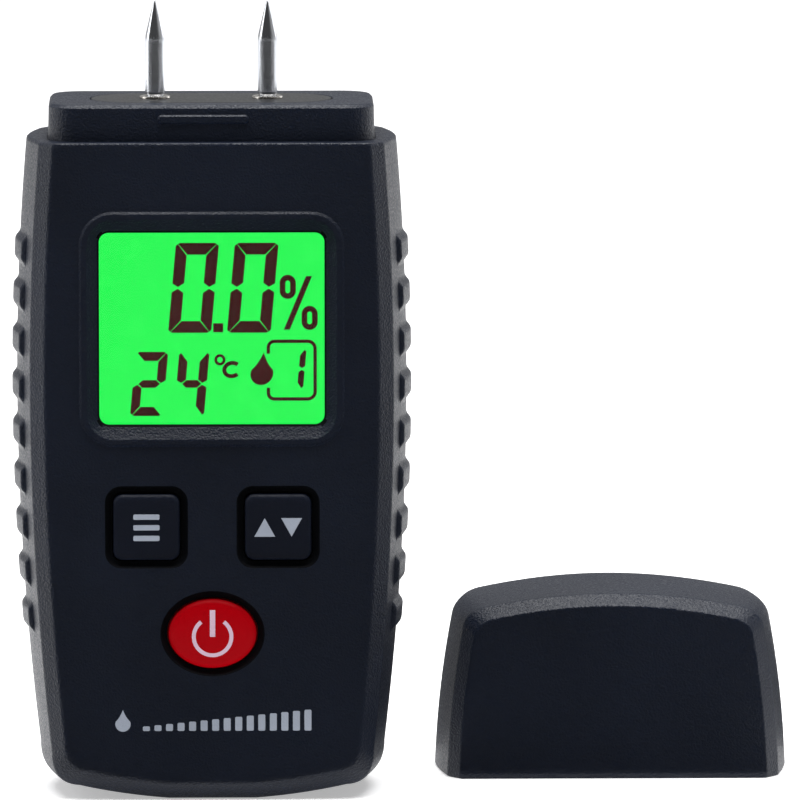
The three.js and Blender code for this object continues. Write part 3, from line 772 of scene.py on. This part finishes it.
def door_profile(inset, steps=16):
    """The door seen from its side, in Y and Z: a plate that ends in a round hinge."""
    front = DOOR_Y + inset
    back = BACK_Y - inset
    top = DOOR_TOP - inset
    edge = 0.3
    half = (back - front) / 2
    points = []
    for i in range(steps + 1):
        angle = math.pi + math.pi * i / steps
        points.append((HINGE_Y + half * math.cos(angle), HINGE_Z + half * math.sin(angle)))
    points.append((back, top - edge))
    points += bend((back, top - edge), (back, top), (back - edge, top), 4)
    points.append((front, top))
    return points


def latch_tongue():
    """Tongue at the door's top edge, with softened edges."""
    rings = []
    front = DOOR_Y + 0.7
    back = BACK_Y - 0.5
    for inset, y in ((0.2, front), (0, front + 0.2), (0, back - 0.2), (0.2, back)):
        x = 5.6 - inset
        rings += plate_rings(-x, x, DOOR_TOP - 1, DOOR_TOP + 1.6 - inset, 0.5, ((0, y),))
    return Skin().capped(rings)


def thumb_grooves():
    """Short grooves under the latch; the middle one is the longest."""
    count = 5
    levels = ((-0.1, BACK_Y - 0.4), (0, BACK_Y - 0.25), (0.14, BACK_Y + 0.02), (0.14, BACK_Y + 1))
    grooves = Skin()
    for step in range(count):
        z = DOOR_TOP - 7.4 + 1.25 * step
        half = (9.0 - 1.5 * abs(step - count // 2)) / 2
        grooves.capped(plate_rings(-half, half, z - 0.3, z + 0.3, 0.29, levels))
    return grooves


def battery_door():
    inner = [(-DOOR_HALF, 0.3), (-DOOR_HALF + 0.08, 0.1), (-DOOR_HALF + 0.3, 0.0)]
    stations = inner + [(-x, inset) for x, inset in reversed(inner)]
    rings = [[(x, y, z) for y, z in door_profile(inset)] for x, inset in stations]
    piece = mesh_object("battery_cover", Skin().capped(rings))
    join(piece, hinge_pivot(0.5, 1.2))
    join(piece, latch_tongue())
    cut(piece, thumb_grooves())
    finish(piece, CASING, "door", "battery_door")


battery_door()


def rating_label():
    """Plain silver label, left blank."""
    low, high = box_mm("rating_label")
    rings = []
    for shrink, y in ((0, low.y), (0, high.y - 0.04), (0.08, high.y)):
        outline = rounded(high.x - low.x - shrink, high.z - low.z - shrink, 1.0, 0, LABEL_Z)
        rings.append(at_y(outline, y))
    piece = mesh_object("blank_label", Skin().capped(rings))
    finish(piece, LABEL, "housing", "rating_label")


rating_label()

# ---- head and pins

head_low, head_high = box_mm("head_block")
holder_low, holder_high = box_mm("pin_holder")
PIN_SPOTS = {side: middle_mm(f"{side}_pin")[0] for side in SIDES}


def pin_bores(skin, radius, start, end):
    """Holes round both pins; returns their first and their last loops."""
    rims = []
    for x in PIN_SPOTS.values():
        rims.append(skin.chain([at_z(oval(radius, radius, x, 0, 40), z) for z in (start, end)]))
    return zip(*rims)


def head_block():
    top = head_high.z
    bottom = SHOULDER_Z - 0.25
    pocket_z = holder_low.z - 0.05
    skin = Skin()
    neck = rounded(2 * NECK_HALF.x - 0.6, 2 * NECK_HALF.y - 0.6, NECK_CORNER)
    rings = [at_z(neck, z) for z in (NECK_FOOT_Z, bottom)]
    for z, inset in (
        (bottom, 0.0), (top - 0.56, 0.12), (top - 0.46, 0.16), (top - 0.08, 0.52), (top, 0.68),
    ):
        width = 2 * (HEAD_HALF.x - inset)
        depth = 2 * (HEAD_HALF.y - inset)
        rings.append(at_z(rounded(width, depth, HEAD_CORNER - inset * 0.5), z))
    base, lid = skin.chain(rings)
    mouth = rounded(36.6, 14.6, 7.25)
    recess = rounded(36.3, 14.3, 7.1)
    rings = [at_z(mouth, top), at_z(recess, top - 0.12), at_z(recess, pocket_z)]
    pocket, pocket_floor = skin.chain(rings)
    upper, lower = pin_bores(skin, 1.55, pocket_z, NECK_FOOT_Z)
    skin.fill(base, *lower)
    skin.fill(lid, pocket)
    skin.fill(pocket_floor, *upper)
    piece = mesh_object("pin_head", skin)
    join(piece, snap_bar())
    finish(piece, CASING, "housing", "head_block")


def snap_bar():
    """Raised bar with softened edges, low on the front of the head."""
    y = head_low.y
    levels = ((-0.25, y), (-0.02, y + 0.22), (0, y + 0.3), (0, y + 1.3))
    return plate(SNAP_X - 6.8, SNAP_X + 6.8, 101.3, 102.7, 0.68, levels)


def pin_holder():
    low = holder_low.z
    high = holder_high.z
    skin = Skin()
    rings = [
        at_z(rounded(36 - 2 * inset, 14 - 2 * inset, 6.95 - inset), z)
        for z, inset in ((low, 0.0), (high - 0.2, 0.0), (high - 0.07, 0.05), (high, 0.2))
    ]
    base, lid = skin.chain(rings)
    lower, upper = pin_bores(skin, 2.05, low, high)
    skin.fill(base, *lower)
    skin.fill(lid, *upper)
    piece = mesh_object("pin_insert", skin)
    finish(piece, INSERT, "housing", "pin_holder")


def turned(name, profile, x, y=0.0, sides=72, closed=False):
    """Solid or ring turned about an upright axis, from (radius, height) points."""
    skin = Skin()
    rings = [at_z(oval(radius, radius, x, y, sides), z) for radius, z in profile]
    first, last = skin.chain(rings)
    if closed:
        skin.bridge(last, first)
    else:
        skin.fan(first, (x, y, profile[0][1]))
        skin.fan(last, (x, y, profile[-1][1]))
    return mesh_object(name, skin)


def pin(side, x):
    low, high = box_mm("left_pin")
    radius = (high.x - low.x) / 2
    stud = 1.3
    shoulder = 104.85
    taper = 113.2
    tip = high.z
    profile = [
        (stud - 0.2, low.z), (stud, low.z + 0.3), (stud, shoulder - 0.32),
        (radius - 0.22, shoulder - 0.3), (radius - 0.06, shoulder - 0.24),
        (radius, shoulder - 0.1), (radius, shoulder + 0.3), (radius, taper - 0.6),
        (radius * 0.985, taper - 0.15), (radius * 0.945, taper + 0.3),
        (radius * 0.88, taper + 0.75), (radius * 0.5, lerp(taper, tip, 0.56)),
        (0.16, tip - 0.2), (0.09, tip - 0.05), (0.03, tip),
    ]
    piece = turned(f"{side}_electrode", profile, x)
    finish(piece, POLISHED, "housing", f"{side}_pin", 40)


def ferrule(side, x):
    """Bright collar: a sleeve in the insert under a rounded flange."""
    low, high = box_mm("left_ferrule")
    top = high.z
    seat = holder_high.z + 0.03
    bore = 1.42
    sleeve = 1.9
    flange = 2.3
    profile = [
        (bore, low.z), (sleeve, low.z), (sleeve, seat), (flange, seat), (flange, top - 0.14),
        (flange - 0.06, top - 0.04), (flange - 0.18, top), (bore + 0.2, top),
        (bore + 0.08, top - 0.05), (bore, top - 0.16),
    ]
    piece = turned(f"{side}_collar", profile, x, closed=True)
    finish(piece, NICKEL, "housing", f"{side}_ferrule")


head_block()
pin_holder()
for side, x in PIN_SPOTS.items():
    pin(side, x)
    ferrule(side, x)

# ---- cells

CELL_BAND = 9.0  # length of the pale end of the sleeve
CELL_BUTTON = 1.9


def cell(side, flipped):
    """Wrapped cell: a bright base, a two-tone sleeve with rolled ends, and a button."""
    low, high = box_mm(f"{side}_cell")
    x, y, _ = middle_mm(f"{side}_cell")
    radius = (high.x - low.x) / 2
    height = high.z - low.z
    top = height - 0.8
    profile = [
        (radius - 1.0, 0.0), (radius - 0.75, 0.12), (radius - 0.6, 0.05),
        (radius - 0.15, 0.18), (radius, 0.45), (radius, height - CELL_BAND),
        (radius, top - 0.55), (radius - 0.12, top - 0.2), (radius - 0.5, top),
        (radius - 0.9, top - 0.06), (radius - 1.0, top - 0.25),
        (CELL_BUTTON + 0.05, top - 0.25), (CELL_BUTTON, top - 0.1),
        (CELL_BUTTON, height - 0.2), (CELL_BUTTON - 0.2, height),
    ]
    if flipped:
        profile = [(r, height - z) for r, z in profile]
    profile = [(r, low.z + z) for r, z in profile]
    piece = turned(f"{side}_battery", profile, x, y, 64)
    finish(piece, WRAP, "housing", f"{side}_cell")
    piece.data.materials.append(NICKEL)
    piece.data.materials.append(PALE_BAND)
    for face in piece.data.polygons:
        place = face.center / MM
        reach = math.hypot(place.x - x, place.y - y)
        along = place.z - low.z if flipped else high.z - place.z
        if reach < radius - 0.65:
            face.material_index = 1
        elif along < CELL_BAND:
            face.material_index = 2


cell("left", False)
cell("right", True)

# ---- thin printed shapes


def prism(skin, outline, y0, y1, holes=()):
    """Flat shape in X and Z with straight sides."""
    ends = [skin.chain([at_y(loop, y0), at_y(loop, y1)]) for loop in (outline, *holes)]
    skin.fill(*[first for first, _ in ends])
    skin.fill(*[last for _, last in ends])


def ribbon(path, width):
    """Outline of an open line with a width."""
    left = []
    right = []
    last = len(path) - 1
    for i, (u, v) in enumerate(path):
        ahead = path[min(i + 1, last)]
        behind = path[max(i - 1, 0)]
        length = math.hypot(ahead[0] - behind[0], ahead[1] - behind[1])
        nu = -(ahead[1] - behind[1]) / length * width / 2
        nv = (ahead[0] - behind[0]) / length * width / 2
        left.append((u + nu, v + nv))
        right.append((u - nu, v - nv))
    return left + right[::-1]


def arc(radius, u, v, start, end, steps):
    """Part of a circle, between two angles in degrees."""
    points = []
    for i in range(steps + 1):
        angle = math.radians(lerp(start, end, i / steps))
        points.append((u + radius * math.cos(angle), v + radius * math.sin(angle)))
    return points


def droplet(u, v, height):
    """Water drop: a round belly that draws up to a point."""
    radius = height * 0.345
    points = arc(radius, u, v - height / 2 + radius, 158, 382, 28)
    tip = (u, v + height / 2)
    right = bend(points[-1], (u + radius * 0.42, v + height * 0.12), tip, 8)
    left = bend(tip, (u - radius * 0.42, v + height * 0.12), points[0], 8)
    return points + right + left[:-1]


def printed(name, outlines, material, body, y, thickness=0.03):
    """Print on a flat face: each entry is an outline, or an outline and its holes."""
    skin = Skin()
    for outline, *holes in outlines:
        prism(skin, outline, y - thickness, y + thickness, holes)
    finish(mesh_object(name, skin), material, body)


# ---- display reading

SLANT = 0.09
SEGMENT_GAP = 0.14
DIGIT_SEGMENTS = {"0": "abcdef", "1": "bc", "2": "abged", "4": "fgbc"}

# Places on the display are measured from its middle.
# Digit, left, bottom, width, height and stroke.
DIGITS = (
    ("0", -6.5, -0.75, 6.4, 13.45, 1.75), ("0", 2.25, -0.75, 6.5, 13.45, 1.75),
    ("2", -12.2, -13.2, 4.85, 9.6, 1.35), ("4", -5.7, -13.2, 4.5, 9.6, 1.35),
    ("1", 9.55, -9.25, 4.0, 6.1, 0.9),
)
# The rings of the per cent and degree signs: width, height, stroke and middle.
RINGS = (
    (2.4, 3.6, 0.85, 11.3, 6.1), (2.4, 3.6, 0.85, 14.55, 1.45), (1.65, 1.7, 0.42, 1.2, -4.8),
)
PERCENT_BAR = ((10.7, -0.3), (11.6, -0.3), (14.9, 7.7), (14.0, 7.7))
# The corners of the open box round the group: radius, middle, first and last angle, steps.
BOX_CORNERS = (
    (0.9, 9.3, -2.95, 180, 90, 8), (1.1, 14.25, -3.15, 90, 0, 10),
    (1.1, 14.25, -9.6, 0, -90, 10), (0.9, 9.3, -9.8, 270, 180, 8),
)
BOX_LEFT = 8.4


def digit_segments(width, height, stroke):
    """The seven segments of an upright digit, as outlines from its lower left corner."""
    gap = SEGMENT_GAP
    middle = height / 2
    left = stroke + gap * 0.6
    right = width - stroke - gap * 0.6
    bar = stroke * 0.42
    upper = [
        (width, height - gap - 0.3), (width - 0.3, height - gap * 0.5 - 0.1),
        (width - stroke, height - stroke - gap),
        (width - stroke, middle + stroke * 0.35 + gap), (width - stroke * 0.5, middle + gap),
        (width, middle + stroke * 0.3 + gap),
    ]
    top = [
        (gap + 0.45, height), (width - gap - 0.45, height), (width - gap - 0.2, height - 0.15),
        (right, height - stroke), (left, height - stroke), (gap + 0.2, height - 0.15),
    ]
    centre = [
        (stroke * 0.5 + gap, middle), (left, middle + bar),
        (right, middle + bar), (width - stroke * 0.5 - gap, middle),
        (right, middle - bar), (left, middle - bar),
    ]

    def across(points):
        return [(width - u, v) for u, v in points]

    def flipped(points):
        return [(u, height - v) for u, v in points]

    return {
        "a": top, "b": upper, "c": flipped(upper), "d": flipped(top),
        "e": across(flipped(upper)), "f": across(upper), "g": centre,
    }


def slanted(points, u, v):
    """Moves points to a place and leans them to the right."""
    return [(u + a + SLANT * b, v + b) for a, b in points]


def stadium_ring(width, height, stroke, u, v):
    outer = rounded(width, height, width / 2 - 0.001, u, v)
    hole = rounded(width - 2 * stroke, height - 2 * stroke, width / 2 - stroke - 0.001, u, v)
    return (outer, hole)


def reading():
    """What the display shows: 0.0 per cent, 24 degrees, a drop, and group 1."""
    base = DISPLAY_Z
    shapes = []
    for character, u, v, width, height, stroke in DIGITS:
        segments = digit_segments(width, height, stroke)
        for key in DIGIT_SEGMENTS[character]:
            shapes.append((slanted(segments[key], u, base + v),))
    for width, height, stroke, u, v in RINGS:
        shapes.append(stadium_ring(width, height, stroke, u, base + v))
    shapes.append(([(u, base + v) for u, v in PERCENT_BAR],))
    shapes.append((rounded(1.5, 1.35, 0.08, 0.95, base),))
    letter = [(1.15 * u, v) for u, v in arc(1.0, 0, 0, 48, 318, 28)]
    shapes.append((ribbon(slanted(letter, 3.0, base - 6.27), 0.6),))
    shapes.append((slanted(droplet(0, 0, 4.9), 7.5, base - 6.15),))
    box = [(BOX_LEFT, base - 3.9)]
    for radius, u, v, start, end, steps in BOX_CORNERS:
        box += arc(radius, u, base + v, start, end, steps)
    box.append((BOX_LEFT, base - 9.0))
    shapes.append((ribbon(box, 0.5),))
    printed("display_reading", shapes, SEGMENT, "housing", GLASS_Y - 0.03, 0.02)


reading()

# ---- keys

KEY_CORNER = 1.45
KEY_FLANGE = 12.2
FLANGE_YS = (PANEL_INNER_Y + 1, PANEL_INNER_Y + 0.15)


def square_key(name, node, x):
    rings = [
        at_y(rounded(KEY_FLANGE, KEY_FLANGE, WELL_CORNER, x, KEY_Z), y) for y in FLANGE_YS
    ]
    for inset, rise in (
        (0.0, FLANGE_YS[1] - KEY_TOP), (0.0, 0.62), (0.05, 0.44), (0.16, 0.27), (0.34, 0.13),
        (0.6, 0.04), (0.95, 0.0), (2.0, 0.0),
    ):
        size = KEY_SIZE - 2 * inset
        corner = max(KEY_CORNER - inset * 0.4, 0.5)
        rings.append(at_y(rounded(size, size, corner, x, KEY_Z), KEY_TOP + rise))
    piece = mesh_object(name, Skin().capped(rings))
    finish(piece, KEYPAD, node.replace("_key", "_button"), node)


square_key("mode_pad", "mode_key", MODE_X)
square_key("set_pad", "set_key", SET_X)

POWER_FLANGE = (7.9, 6.5)
POWER_CROWN = 0.62  # fall of the dome from its middle to its edge
POWER_EDGE = 0.42  # further fall of the rounded edge
EDGE_START = 0.86  # share of the way out where the rounded edge starts
EDGE_WIDTH = 0.14
POWER_RINGS = (1.0, 0.985, 0.965, 0.94, 0.91, 0.88, 0.84, 0.78, 0.7, 0.6, 0.48, 0.34, 0.18, 0.06)


def power_surface(x, z):
    """Depth of the power key's domed face at a point."""
    share = min(math.hypot(x / POWER_HALF.x, (z - POWER_Z) / POWER_HALF.y), 1.0)
    dome = POWER_CROWN * share**3.2
    edge = POWER_EDGE * max(share - EDGE_START, 0.0) ** 2 / EDGE_WIDTH**2
    return POWER_TOP + dome + edge


def power_key():
    rings = [at_y(oval(*POWER_FLANGE, 0, POWER_Z), y) for y in FLANGE_YS]
    rings.append(at_y(oval(*POWER_HALF, 0, POWER_Z), FLANGE_YS[1]))
    for share in POWER_RINGS:
        outline = oval(POWER_HALF.x * share, POWER_HALF.y * share, 0, POWER_Z)
        rings.append([(u, power_surface(u, v), v) for u, v in outline])
    piece = mesh_object("power_pad", Skin().capped(rings))
    finish(piece, POWER_RED, "power_button", "power_key")


power_key()


def power_symbol():
    """Open ring and bar, laid over the dome of the key."""
    skin = Skin()
    centre = POWER_Z - 0.35
    ring = arc(2.8, 0, centre, 127, 413, 64)
    bar = [(0, centre + 4.0 * i / 12) for i in range(13)]
    for path, width in ((ring, 0.58), (bar, 0.8)):
        outline = ribbon(path, width)
        count = len(path)
        edges = []
        for lift in (-0.03, 0.12):
            points = [(u, power_surface(u, v) + lift, v) for u, v in outline]
            edges.append((skin.loop(points[:count]), skin.loop(points[count:][::-1])))
        (face_left, face_right), (base_left, base_right) = edges
        skin.bridge(face_left, face_right, closed=False)
        skin.bridge(base_left, base_right, closed=False)
        for face, base in zip(*edges):
            skin.bridge(face, base, closed=False)
        for end in (0, -1):
            skin.faces.append((face_left[end], face_right[end], base_right[end], base_left[end]))
    finish(mesh_object("power_symbol", skin), PALE_PRINT, "power_button")


power_symbol()

menu_bars = [(rounded(3.9, 0.8, 0.2, MODE_X, KEY_Z + step * 1.6),) for step in (-1, 0, 1)]
printed("mode_symbol", menu_bars, PRINT, "mode_button", KEY_TOP)


def triangle(u, v, half, height):
    """Arrow head that points up, or down where its height is negative."""
    return [(u - half, v - height / 2), (u + half, v - height / 2), (u, v + height / 2)]


arrows = [(triangle(SET_X + turn * 2.0, KEY_Z, 1.55, turn * -2.8),) for turn in (-1, 1)]
printed("set_symbol", arrows, PRINT, "set_button", KEY_TOP)


def panel_symbols():
    """A drop and a row of rising bars, under the power key."""
    base = 10.55
    shapes = [(droplet(-13.4, base + 1.55, 3.3),)]
    last = 14
    for i in range(last + 1):
        u = lerp(-9.9, 14.2, i / last)
        height = lerp(0.7, 3.15, i / last)
        shapes.append((rounded(1.05, height, 0.2, u, base + height / 2),))
    printed("panel_symbols", shapes, PRINT, "housing", FRONT_Y)


panel_symbols()

# ---- protective cap

cap_low, cap_high = box_mm("cap")
CAP_X, CAP_Y, _ = middle_mm("cap")
CAP_HALF = (cap_high.x - cap_low.x) / 2
CAP_PEAK = cap_high.z
CAP_DEPTH = (cap_high.y - cap_low.y) / 2
CAP_WALL = 1.4
CAP_CORNER_X = 21.0  # the rounded corner runs from here on the top
CAP_CORNER_Z = 22.7  # to here on the side
CAP_STEPS = 24


def cap_side(z):
    return CAP_HALF - 0.03 * z - 0.0035 * z * z


def cap_top(x):
    return CAP_PEAK - x * x / (2 * BOTTOM_RADIUS)


def cap_outline(rim):
    """From the right foot over the top to the left foot, with the rim's edge rounded."""
    foot = cap_side(0)
    right = [(foot - rim, 0.0), (foot - rim * 0.3, rim * 0.3), (foot, rim)]
    right += [(cap_side(z), z) for z in steps_between(rim, CAP_CORNER_Z, CAP_STEPS)]
    control = (cap_side(CAP_CORNER_Z + 1) - 0.1, CAP_CORNER_Z + 2.4)
    right += bend(right[-1], control, (CAP_CORNER_X, cap_top(CAP_CORNER_X)), 18)
    right += [(x, cap_top(x)) for x in steps_between(CAP_CORNER_X, 0, CAP_STEPS)]
    return right + [(-x, z) for x, z in right[-2::-1]]


def cap_loop(station, wall, rim):
    width = (CAP_HALF - station.side - wall) / CAP_HALF
    height = (CAP_PEAK - station.end - wall) / CAP_PEAK
    y = CAP_Y + station.y
    return [(CAP_X + x * width, y, z * height) for x, z in cap_outline(rim)]


def cap_grid(skin, stations, wall, rim):
    """A sleeve closed at both ends and open at the foot; returns the loop round its mouth."""
    loops = [skin.loop(cap_loop(station, wall, rim)) for station in stations]
    for first, second in zip(loops, loops[1:]):
        skin.bridge(first, second, closed=False)
    skin.fill(loops[0])
    skin.fill(loops[-1])
    return [loop[0] for loop in loops] + [loop[-1] for loop in reversed(loops)]


CAP_OUTER = stations(
    (-CAP_DEPTH, 4.7, 0, 0, 2.8), (-CAP_DEPTH + 0.01, 3.52, 0.22, 0, 1.62), (-11.2, 1.68, 0.3),
    (-5.5, 0.6, 2.4), (0, 0, 2.4), (5, 0.36, 2.0), (9.5, 1.28, 0.8), (12, 2.64, 0.5, 0, 0.28),
    (CAP_DEPTH - 0.01, 3.52, 0.5, 0, 0.84), (CAP_DEPTH, 4.7, 0, 0, 2.02),
)
CAP_INNER = stations(
    (-CAP_DEPTH + CAP_WALL, 3.2, 0, 0, 1.0), (-11.2, 1.68), (-5.4, 0.58), (0.1, 0),
    (5.1, 0.37), (9.6, 1.3), (CAP_DEPTH - CAP_WALL, 2.9, 0, 0, 0.6),
)


def cap_ridge():
    """Ridge inside the cap's mouth, which snaps over the bar on the head."""
    x = CAP_X + SNAP_X
    y = CAP_Y - CAP_DEPTH + CAP_WALL
    return plate(x - 6, x + 6, 1.6, 2.4, 0.38, ((0, y - 0.3), (0, y + 0.15), (-0.15, y + 0.35)))


def cap():
    skin = Skin()
    mouth_outer = cap_grid(skin, soften(CAP_OUTER), 0.0, 0.35)
    mouth_inner = cap_grid(skin, CAP_INNER, CAP_WALL, 0.2)
    skin.fill(mouth_outer, mouth_inner)
    piece = mesh_object("pin_cap", skin)
    join(piece, cap_ridge())
    finish(piece, CASING, "cap", "cap")


cap()

# ---- finishes of the CAD nodes

NODE_FINISHES = (
    (CLEAR, "display_window"),
    (LIT_GREEN, "display_glass"),
    (LIGHT_GUIDE, "backlight"),
    (RUBBER, "display_connector"),
    (WHITE, "display_frame mode_plunger set_plunger power_plunger"),
    (BOARD, "circuit_board"),
    (CHIP, "control_chip temperature_sensor mode_switch set_switch power_switch"),
    (NICKEL, "negative_contact positive_contact bridge_contact left_spring right_spring"),
    (NICKEL, "left_pin_nut right_pin_nut"),
    (COPPER, "left_pin_lug right_pin_lug"),
    (RED_WIRE, "positive_lead left_pin_lead right_pin_lead"),
    (BLACK_WIRE, "negative_lead"),
    (STEEL, "case_screw_1 case_screw_2 case_screw_3 case_screw_4"),
    (STEEL, "board_screw_1 board_screw_2 board_screw_3 board_screw_4"),
)
for material, names in NODE_FINISHES:
    for name in names.split():
        nodes[name].data.materials.clear()
        nodes[name].data.materials.append(material)

# ---- floor, light and camera, in metres

FLOOR_HALF = 12.0
WHITE_LIGHT = (1, 1, 1, 1)
FLAT = (0.0006, 0.0006)  # heights of a card that lies just over the floor
UPRIGHT = (0, 0.045)
BEHIND_CAP = (0.034, 0.034)


def stage_plane(name, points, material):
    mesh = bpy.data.meshes.new(name)
    mesh.from_pydata(points, [], [(0, 1, 2, 3)])
    mesh.materials.append(material)
    plane = add_object(name, mesh)
    return plane


def corners(x0, x1, y0, y1, z0, z1):
    """A flat sheet where both heights are the same, an upright one where both depths are."""
    return [(x0, y0, z0), (x1, y0, z0), (x1, y1, z1), (x0, y1, z1)]


def floor():
    pale = (0.86, 0.86, 0.865)
    material = surface("pale_floor", pale, 0.9, specular=0.1, relief=0.0, mottle=0.005)
    glow = {"Emission Color": WHITE_LIGHT, "Emission Strength": 0.4}
    set_inputs(material.node_tree.nodes["Principled BSDF"], glow)
    reach = (-FLOOR_HALF, FLOOR_HALF)
    stage_plane("floor", corners(*reach, *reach, 0, 0), material)


def reflection_card(name, x0, x1, ys, zs, glow):
    """Matt card that only reflections show, as in a product studio."""
    material, _, shader = node_material(f"{name}_finish")
    black = {"Base Color": (0, 0, 0, 1), "Specular IOR Level": 0.0, "Roughness": 1.0}
    set_inputs(shader, black)
    set_inputs(shader, {"Emission Color": WHITE_LIGHT, "Emission Strength": glow})
    card = stage_plane(name, corners(x0, x1, *ys, *zs), material)
    for ray in ("camera", "diffuse", "shadow", "transmission", "volume_scatter"):
        setattr(card, f"visible_{ray}", False)


floor()
# Dark cards on the floor in front, and grey ones upright behind the cap's sides.
reflection_card("card", -1.2, 1.2, (-2.4, -0.0145), FLAT, 0.0)
reflection_card("cap_card", 0.0325, 0.088, (-0.0145, 0.0045), FLAT, 0.0)
reflection_card("left_card", -0.005, 0.038, BEHIND_CAP, UPRIGHT, 0.26)
reflection_card("right_card", 0.0892, 0.13, BEHIND_CAP, UPRIGHT, 0.15)


def area_light(name, place, target, size, power):
    data = bpy.data.lights.new(name, "AREA")
    data.shape = "RECTANGLE"
    data.size, data.size_y = size
    data.energy = power
    lamp = add_object(name, data)
    lamp.location = place
    lamp.rotation_mode = "QUATERNION"
    lamp.rotation_quaternion = (Vector(target) - Vector(place)).to_track_quat("-Z", "Y")
    lamp.visible_camera = False


area_light("top_softbox", (0.03, -0.05, 1.3), (0.03, 0, 0.05), (1.4, 1.0), 30.0)
area_light("left_softbox", (-1.3, 0.05, 0.6), (0, 0, 0.06), (0.7, 1.2), 6.0)
area_light("right_softbox", (1.2, 0.9, 0.6), (0, 0, 0.06), (0.7, 1.0), 4.0)


def studio_world():
    """White behind the meter, and for reflections a pale room that darkens to the front."""
    world = bpy.data.worlds.new("studio")
    bpy.context.scene.world = world
    world.use_nodes = True
    tree = world.node_tree
    place = add_node(tree, "TexCoord").outputs["Generated"]
    turn = {"Vector": place, "Rotation": (0, 0, math.radians(18))}
    turned_round = add_node(tree, "Mapping", turn)
    parts = add_node(tree, "SeparateXYZ", {"Vector": turned_round.outputs["Vector"]})
    ranged = spread(tree, parts.outputs["Y"], -0.6, 0.2, 0.06, 0.42)
    ranged.interpolation_type = "SMOOTHSTEP"
    brighter = add_node(tree, "Math")
    brighter.operation = "MAXIMUM"
    tree.links.new(ranged.outputs["Result"], brighter.inputs[0])
    tree.links.new(add_node(tree, "LightPath").outputs["Is Camera Ray"], brighter.inputs[1])
    values = {"Strength": brighter.outputs["Value"], "Color": WHITE_LIGHT}
    set_inputs(tree.nodes["Background"], values)


studio_world()

CAMERA_DISTANCE = 1.5
CAMERA_AZIMUTH = math.radians(-1.1)
CAMERA_ELEVATION = math.radians(7.5)
CAMERA_LENS = 450
CAMERA_SENSOR = 36
AIM = Vector((0.0282, 0.0, 0.0585))


def camera():
    data = bpy.data.cameras.new("camera")
    data.lens = CAMERA_LENS
    data.sensor_width = CAMERA_SENSOR
    data.clip_start = 0.1
    data.clip_end = 40
    level = math.cos(CAMERA_ELEVATION)
    x = math.sin(CAMERA_AZIMUTH) * level
    y = -math.cos(CAMERA_AZIMUTH) * level
    back = Vector((x, y, math.sin(CAMERA_ELEVATION)))
    viewer = add_object("camera", data)
    viewer.location = AIM + back * CAMERA_DISTANCE
    viewer.rotation_mode = "QUATERNION"
    viewer.rotation_quaternion = (-back).to_track_quat("-Z", "Y")
    bpy.context.scene.camera = viewer


camera()
bpy.context.scene.view_settings.view_transform = "Standard"
